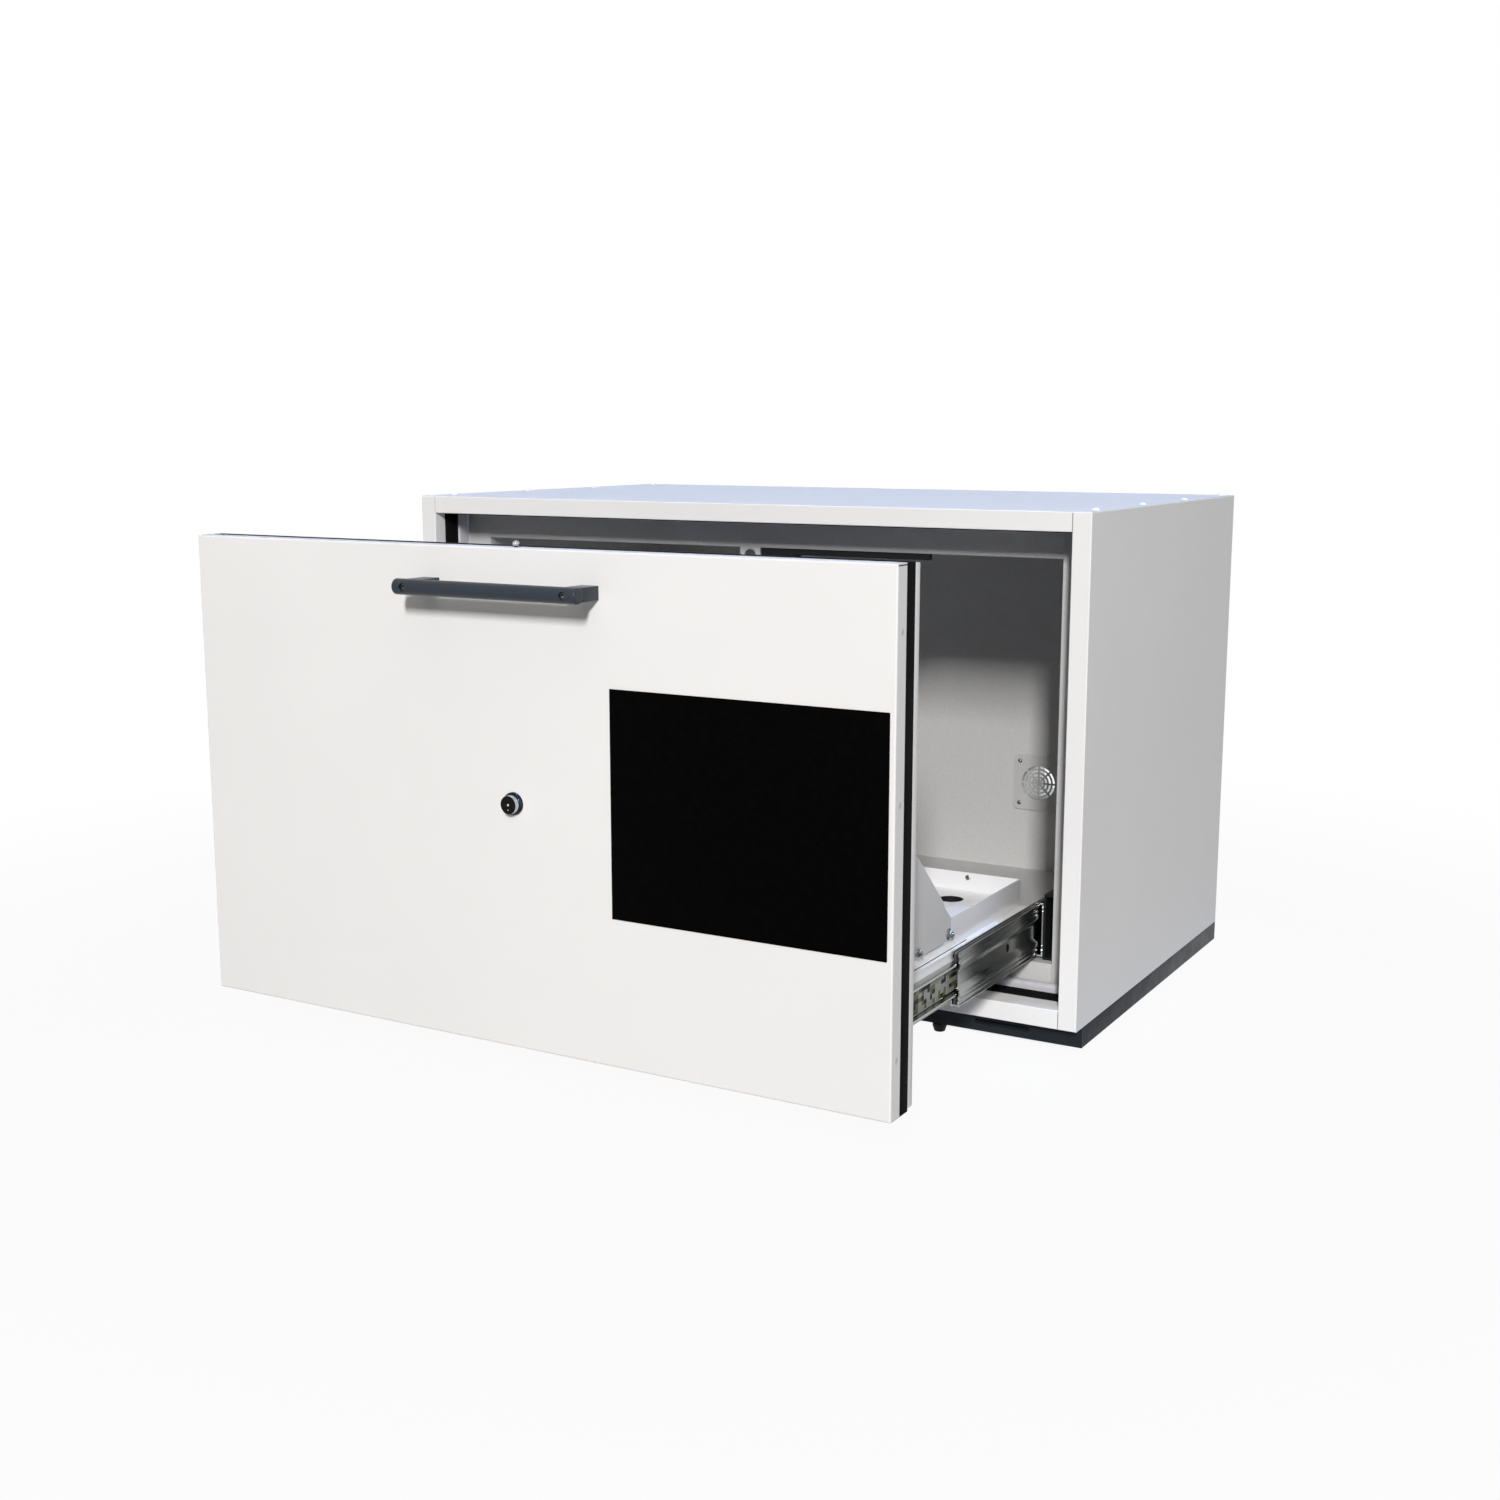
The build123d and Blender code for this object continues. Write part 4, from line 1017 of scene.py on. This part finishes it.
def makeLock(s):
    low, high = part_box("lock_housing")
    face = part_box("front_skin")[0].y
    proud = (face - low.y) / mm
    centre = Vector(((low.x + high.x) / 2, face, (low.z + high.z) / 2))
    b, c, t, bore, back = s["barrel"], s["collar"], s["collarLength"], s["bore"], -s["back"]
    curve = [(c + step, t * share) for step, share in s["collarCurve"]]
    collar = inMetres([(b, 0.0), (c, 0.0), *curve, (b, t), (b, 0.0)])
    work = turnedShape(collar, centre, s["steps"], forward=True)
    # the collar's near-black chrome is painted dark reflection
    addPiece("lockCollar", work, "darkChrome", "drawer", "chrome", "lock_housing")
    curve = [(b + step, proud + end) for step, end in s["barrelCurve"]]
    barrel = inMetres([(bore, back), (b, back), *curve, (bore, proud), (bore, back)])
    work = turnedShape(barrel, centre, s["steps"], forward=True)
    mesh = addPiece("lockBarrel", work, "chromePlate", "drawer", "chrome", "lock_housing").data
    mesh.materials.append(finishes["lockCoat"])
    for polygon in mesh.polygons:
        if polygon.center.y < low.y + s["rim"] * mm:
            polygon.material_index = 1
    front = Vector((centre.x, low.y, centre.z))
    work = bead(s, "dot", front - Vector((0, 0, s["dotDrop"] * mm)))
    absorb(work, bead(s, "shutter", front))
    addPiece("keyCore", work, "ballSteel", "lock_plug", "chrome")


makeLock(lockSettings)
print("lock made")


# pieces: seam lines of the folded sheets, and a black line under each gusset that is painted shadow
seamSettings = {"width": 0.5, "proud": 0.06, "sunk": 0.3, "ends": 1.3, "drop": (2.4, 1.4), "foot": 0.7}


def bars(name, lines, finish, body, slot):
    work = bmesh.new()
    for line in lines:
        low, high = [Vector(corner) for corner in zip(*line)]
        addBlock(work, (low + high) / 2, high - low)
    addPiece(name, work, finish, body, slot)


def makeSeams(s):
    half = s["width"] * mm / 2
    up, down, end = s["proud"] * mm, s["sunk"] * mm, s["ends"] * mm
    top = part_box("top_skin")
    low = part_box("bottom_skin")
    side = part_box("right_side_skin")
    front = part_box("front_skin")
    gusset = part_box("gussets")
    lines = []
    for way in (-1, 1):
        seam, edge = way * side[0].x, way * top[1].x
        for shelf in (top, low):
            lines.append(((seam - half, seam + half), (top[0].y - up, top[0].y + down),
                          (shelf[0].z + end, shelf[1].z - end)))
        lines.append(((edge - half, edge + half), (top[0].y + end, top[1].y - end),
                      (top[1].z - down, top[1].z + up)))
    bars("cabinetSeams", lines, "seamGrey", "cabinet", "white_paint")
    topEdge = [front[1].z - drop * mm for drop in s["drop"]]
    # the black bar under each gusset's bottom edge is painted contact shadow
    gussetShadowBand = (gusset[0].z, gusset[0].z + s["foot"] * mm)
    lines = []
    for sheet, ends, levels in ((front[1].x, (front[0].y + end, front[1].y), topEdge),
                                (gusset[1].x, (gusset[0].y + end, gusset[1].y - end), gussetShadowBand)):
        for way in (-1, 1):
            lines.append((sorted((way * (sheet - down), way * (sheet + up))), ends, levels))
    bars("drawerSeams", lines, "blackSeal", "drawer", "black_seal")


makeSeams(seamSettings)


# pieces: the rail behind the plinth slots
plinthRail = {"from": 296.0, "to": 440.0, "front": 14.0, "deep": 14.0, "sheet": 1.5, "low": 12.7,
              "lip": 5.0, "round": 1.0}


def makePlinthRail(s):
    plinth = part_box("plinth_front")
    start = plinth[0].y + s["front"] * mm
    end = start + s["deep"] * mm
    low, high, t, r = s["low"] * mm, plinth[1].z, s["sheet"] * mm, s["round"] * mm
    lip = low + s["lip"] * mm
    points = [(start, low, r), (end, low, r), (end, lip, 0), (end - t, lip, 0), (end - t, low + t, 0),
              (start + t, low + t, 0), (start + t, high - t, 0), (end, high - t, 0), (end, high, 0),
              (start, high, r)]
    work = drawnPair(roundedLoop(points), s["from"] * mm, s["to"] * mm, sideways=True)
    addPiece("plinthRail", work, "anthraciteCoat", "cabinet", "anthracite_paint")


makePlinthRail(plinthRail)


# pieces: bright rims on the front ends of the fixed slides, in chrome lighter than the slides' painted-shade
# zinc, a painted highlight on their end edges
slideEnd = {"lip": 10.0, "sheet": 1.6, "round": 0.4, "proud": 0.9, "sunk": 0.6}


def makeSlideEnds(s):
    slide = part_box("slide_outer_members")
    edge, lip, t, r = slide[1].x, slide[1].x - s["lip"] * mm, s["sheet"] * mm, s["round"] * mm
    low, high = slide[0].z, slide[1].z
    points = [(edge, low, r), (edge, high, r), (lip, high, r), (lip, high - t, r), (edge - t, high - t, 0),
              (edge - t, low + t, 0), (lip, low + t, r), (lip, low, r)]
    work = drawnPair(roundedLoop(points), slide[0].y - s["proud"] * mm, slide[0].y + s["sunk"] * mm)
    # the rims' brighter chrome is a painted highlight beside the painted-shade zinc
    addPiece("slideEnds", work, "chromePlate", "cabinet", "zinc_steel")


makeSlideEnds(slideEnd)


# pieces: sleeves in the drain holes
drainSleeve = {"radius": 14.3, "wall": 1.0, "rim": 0.3, "low": 112.0, "across": 283.0, "along": -27.9,
               "steps": 48}


def makeSleeves(s):
    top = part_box("tray_floor_plate")[1].z / mm - s["rim"]
    outer, inner, low = s["radius"], s["radius"] - s["wall"], s["low"]
    tube = inMetres([(inner, low), (outer, low), (outer, top), (inner, top), (inner, low)])
    whole = bmesh.new()
    for way in (-1, 1):
        absorb(whole, turnedShape(tube, Vector((way * s["across"] * mm, s["along"] * mm, 0)), s["steps"]))
    addPiece("drainSleeves", whole, "blackPlastic", "drawer", "black_plastic")


makeSleeves(drainSleeve)
print("seams, plinth rail, slide rims and drain sleeves made")


# pieces: levelling feet, turned with a ribbed pad and a threaded stem
footSettings = {
    "padCurve": [(0.0, 0.0), (5.6, 0.0), (6.4, 0.5), (7.8, 5.0), (8.3, 6.2), (8.3, 9.4), (7.7, 10.0),
                 (3.9, 10.0)],
    "stem": 3.9,
    "stemFrom": 10.4,
    "thread": 0.45,
    "pitch": 1.75,
    "ribs": 18,
    "ribSteps": 3,
    "ribDepth": 0.35,
    "ribBand": (5.5, 9.7),
    "ribReach": 7.0,
}


def footProfile(s, height):
    points = list(s["padCurve"])
    root = s["stem"] - s["thread"]
    level = s["stemFrom"]
    while level < height - s["pitch"]:
        points += [(s["stem"], level), (root, level + s["pitch"] / 2)]
        level += s["pitch"]
    return inMetres(points + [(root, height), (0.0, height)])


def makeFoot(node, s):
    low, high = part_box(node)
    centre = Vector(((low.x + high.x) / 2, (low.y + high.y) / 2, low.z))
    steps = s["ribs"] * s["ribSteps"]
    work = turnedShape(footProfile(s, (high.z - low.z) / mm), centre, steps)
    bandLow, bandHigh = s["ribBand"]
    for vert in work.verts:
        out = Vector((vert.co.x - centre.x, vert.co.y - centre.y, 0))
        inBand = bandLow < (vert.co.z - centre.z) / mm < bandHigh and out.length > s["ribReach"] * mm
        step = round((out.to_2d().angle_signed(Vector((1, 0)), 0.0)) / radians(360.0 / steps))
        if inBand and step % s["ribSteps"] == 0:
            vert.co -= out.normalized() * s["ribDepth"] * mm
    first, second, third = node.split("_")
    name = first + second.capitalize() + third.capitalize()
    addPiece(name, work, "blackPlastic", node, "black_plastic", node)


for node in [n for n in frame["nodes"] if n.startswith("foot_") and n != "foot_plates"]:
    makeFoot(node, footSettings)
print("feet made")


# floor, light and surroundings
# underneath gives half the width, half the depth and the middle of the floor that stays dark
stageSettings = {
    "floorReach": 8.0,
    "floorColour": (0.5, 0.5, 0.5),
    "floorWhite": 0.945,
    "underneath": (0.4, 0.225, 0.235),
    "underneathFade": 0.02,
    "fadeFrom": 0.75,
    "fadeTo": 1.9,
    "roomColour": (1.0, 1.0, 1.0),
    "roomStrength": 0.01,
}
usualLamp = {"aim": (0.0, 0.0, 0.3), "beam": 180.0}
lampSettings = {
    "keyLight": {"place": (5.38, -11.43, 6.33), "size": (0.8, 2.2), "colour": (1.0, 0.98, 0.972),
                 "power": 1715.0},
    "softLight": {"place": (0.7, -2.4, 2.9), "size": (3.0, 3.0), "colour": (1.0, 0.98, 0.95), "power": 18.0},
    "topLight": {"place": (0.0, 0.16, 3.3), "aim": (0.0, 0.16, 0.6), "size": (1.06, 0.8), "beam": 5.0,
                 "colour": (0.38, 0.56, 1.0), "power": 1.3},
    "edgeLight": {"place": (0.0, -0.453, 3.3), "aim": (0.0, -0.453, 0.6), "size": (0.86, 0.03), "beam": 1.5,
                  "colour": (0.36, 0.54, 1.0), "power": 0.05},
    "sideLight": {"place": (3.2, -1.0, 1.0), "size": (1.6, 1.6), "colour": (0.82, 0.9, 1.0), "power": 10.0},
    "rearLight": {"place": (-2.2, 3.2, 0.4), "aim": (0.0, 0.4, 0.3), "size": (3.2, 0.8),
                  "colour": (1.0, 0.98, 0.95), "power": 18.0},
}


def seenRays(tree):
    path = addNode(tree, "ShaderNodeLightPath").outputs
    direct = maths(tree, "MAXIMUM", path["Is Camera Ray"], path["Is Glossy Ray"])
    return maths(tree, "MAXIMUM", direct, path["Is Transmission Ray"])


def smoothStep(tree, value, first, last, low=0.0):
    inputs = {"Value": value, "From Min": first, "From Max": last, "To Min": low, "To Max": 1.0}
    return addNode(tree, "ShaderNodeMapRange", inputs, interpolation_type="SMOOTHSTEP").outputs["Result"]


def mixInto(tree, output, share, first, second):
    mix = addNode(tree, "ShaderNodeMixShader", {"Fac": share, 1: first, 2: second})
    addNode(tree, output, {"Surface": mix.outputs["Shader"]})


def outsideCabinet(tree, coords, half, fade):
    middle = {0: coords, 1: (0.0, half[2], 0.0)}
    place = addNode(tree, "ShaderNodeVectorMath", middle, operation="SUBTRACT").outputs[0]
    size = addNode(tree, "ShaderNodeVectorMath", {0: place}, operation="ABSOLUTE").outputs[0]
    parts = splitAxes(tree, size)
    over = [smoothStep(tree, parts[axis], half[axis] - fade, half[axis] + fade) for axis in (0, 1)]
    return maths(tree, "MAXIMUM", *over)


def makeFloor(s):
    mesh = bpy.data.meshes.new("paleFloor")
    r = s["floorReach"]
    mesh.from_pydata([(-r, -r, 0), (r, -r, 0), (r, r, 0), (-r, r, 0)], [], [(0, 1, 2, 3)])
    floor = putInScene("paleFloor", mesh)
    finish = bpy.data.materials.new("paleFloor")
    tree = clearedTree(finish)
    diffuse = addNode(tree, "ShaderNodeBsdfDiffuse", {"Color": (*s["floorColour"], 1.0)})
    glow = addNode(tree, "ShaderNodeEmission")
    coords = addNode(tree, "ShaderNodeTexCoord").outputs["Object"]
    length = addNode(tree, "ShaderNodeVectorMath", {0: coords}, operation="LENGTH").outputs["Value"]
    fade = smoothStep(tree, length, s["fadeFrom"], s["fadeTo"], s["floorWhite"])
    clear = outsideCabinet(tree, coords, s["underneath"], s["underneathFade"])
    share = maths(tree, "MULTIPLY", maths(tree, "MULTIPLY", seenRays(tree), fade), clear)
    mixInto(tree, "ShaderNodeOutputMaterial", share, diffuse.outputs["BSDF"], glow.outputs["Emission"])
    mesh.materials.append(finish)


def makeLamp(name, s):
    area = bpy.data.lights.new(name, "AREA")
    area.shape = "RECTANGLE"
    area.size, area.size_y = s["size"]
    area.energy = s["power"]
    area.color = s["colour"]
    area.spread = radians(s["beam"])
    lamp = putInScene(name, area)
    lamp.location = s["place"]
    lamp.rotation_euler = (Vector(s["place"]) - Vector(s["aim"])).to_track_quat("Z", "Y").to_euler()


def makeRoom(s):
    scene.world = bpy.data.worlds.new("paleRoom")
    tree = clearedTree(scene.world)
    room = {"Color": (*s["roomColour"], 1.0), "Strength": s["roomStrength"]}
    dim = addNode(tree, "ShaderNodeBackground", room).outputs["Background"]
    bright = {"Color": (1.0, 1.0, 1.0, 1.0), "Strength": 1.0}
    white = addNode(tree, "ShaderNodeBackground", bright).outputs["Background"]
    mixInto(tree, "ShaderNodeOutputWorld", seenRays(tree), dim, white)


makeFloor(stageSettings)
for lampName, lampSetting in lampSettings.items():
    makeLamp(lampName, {**usualLamp, **lampSetting})
makeRoom(stageSettings)
scene.view_settings.view_transform = "Standard"
print("floor and light ready")
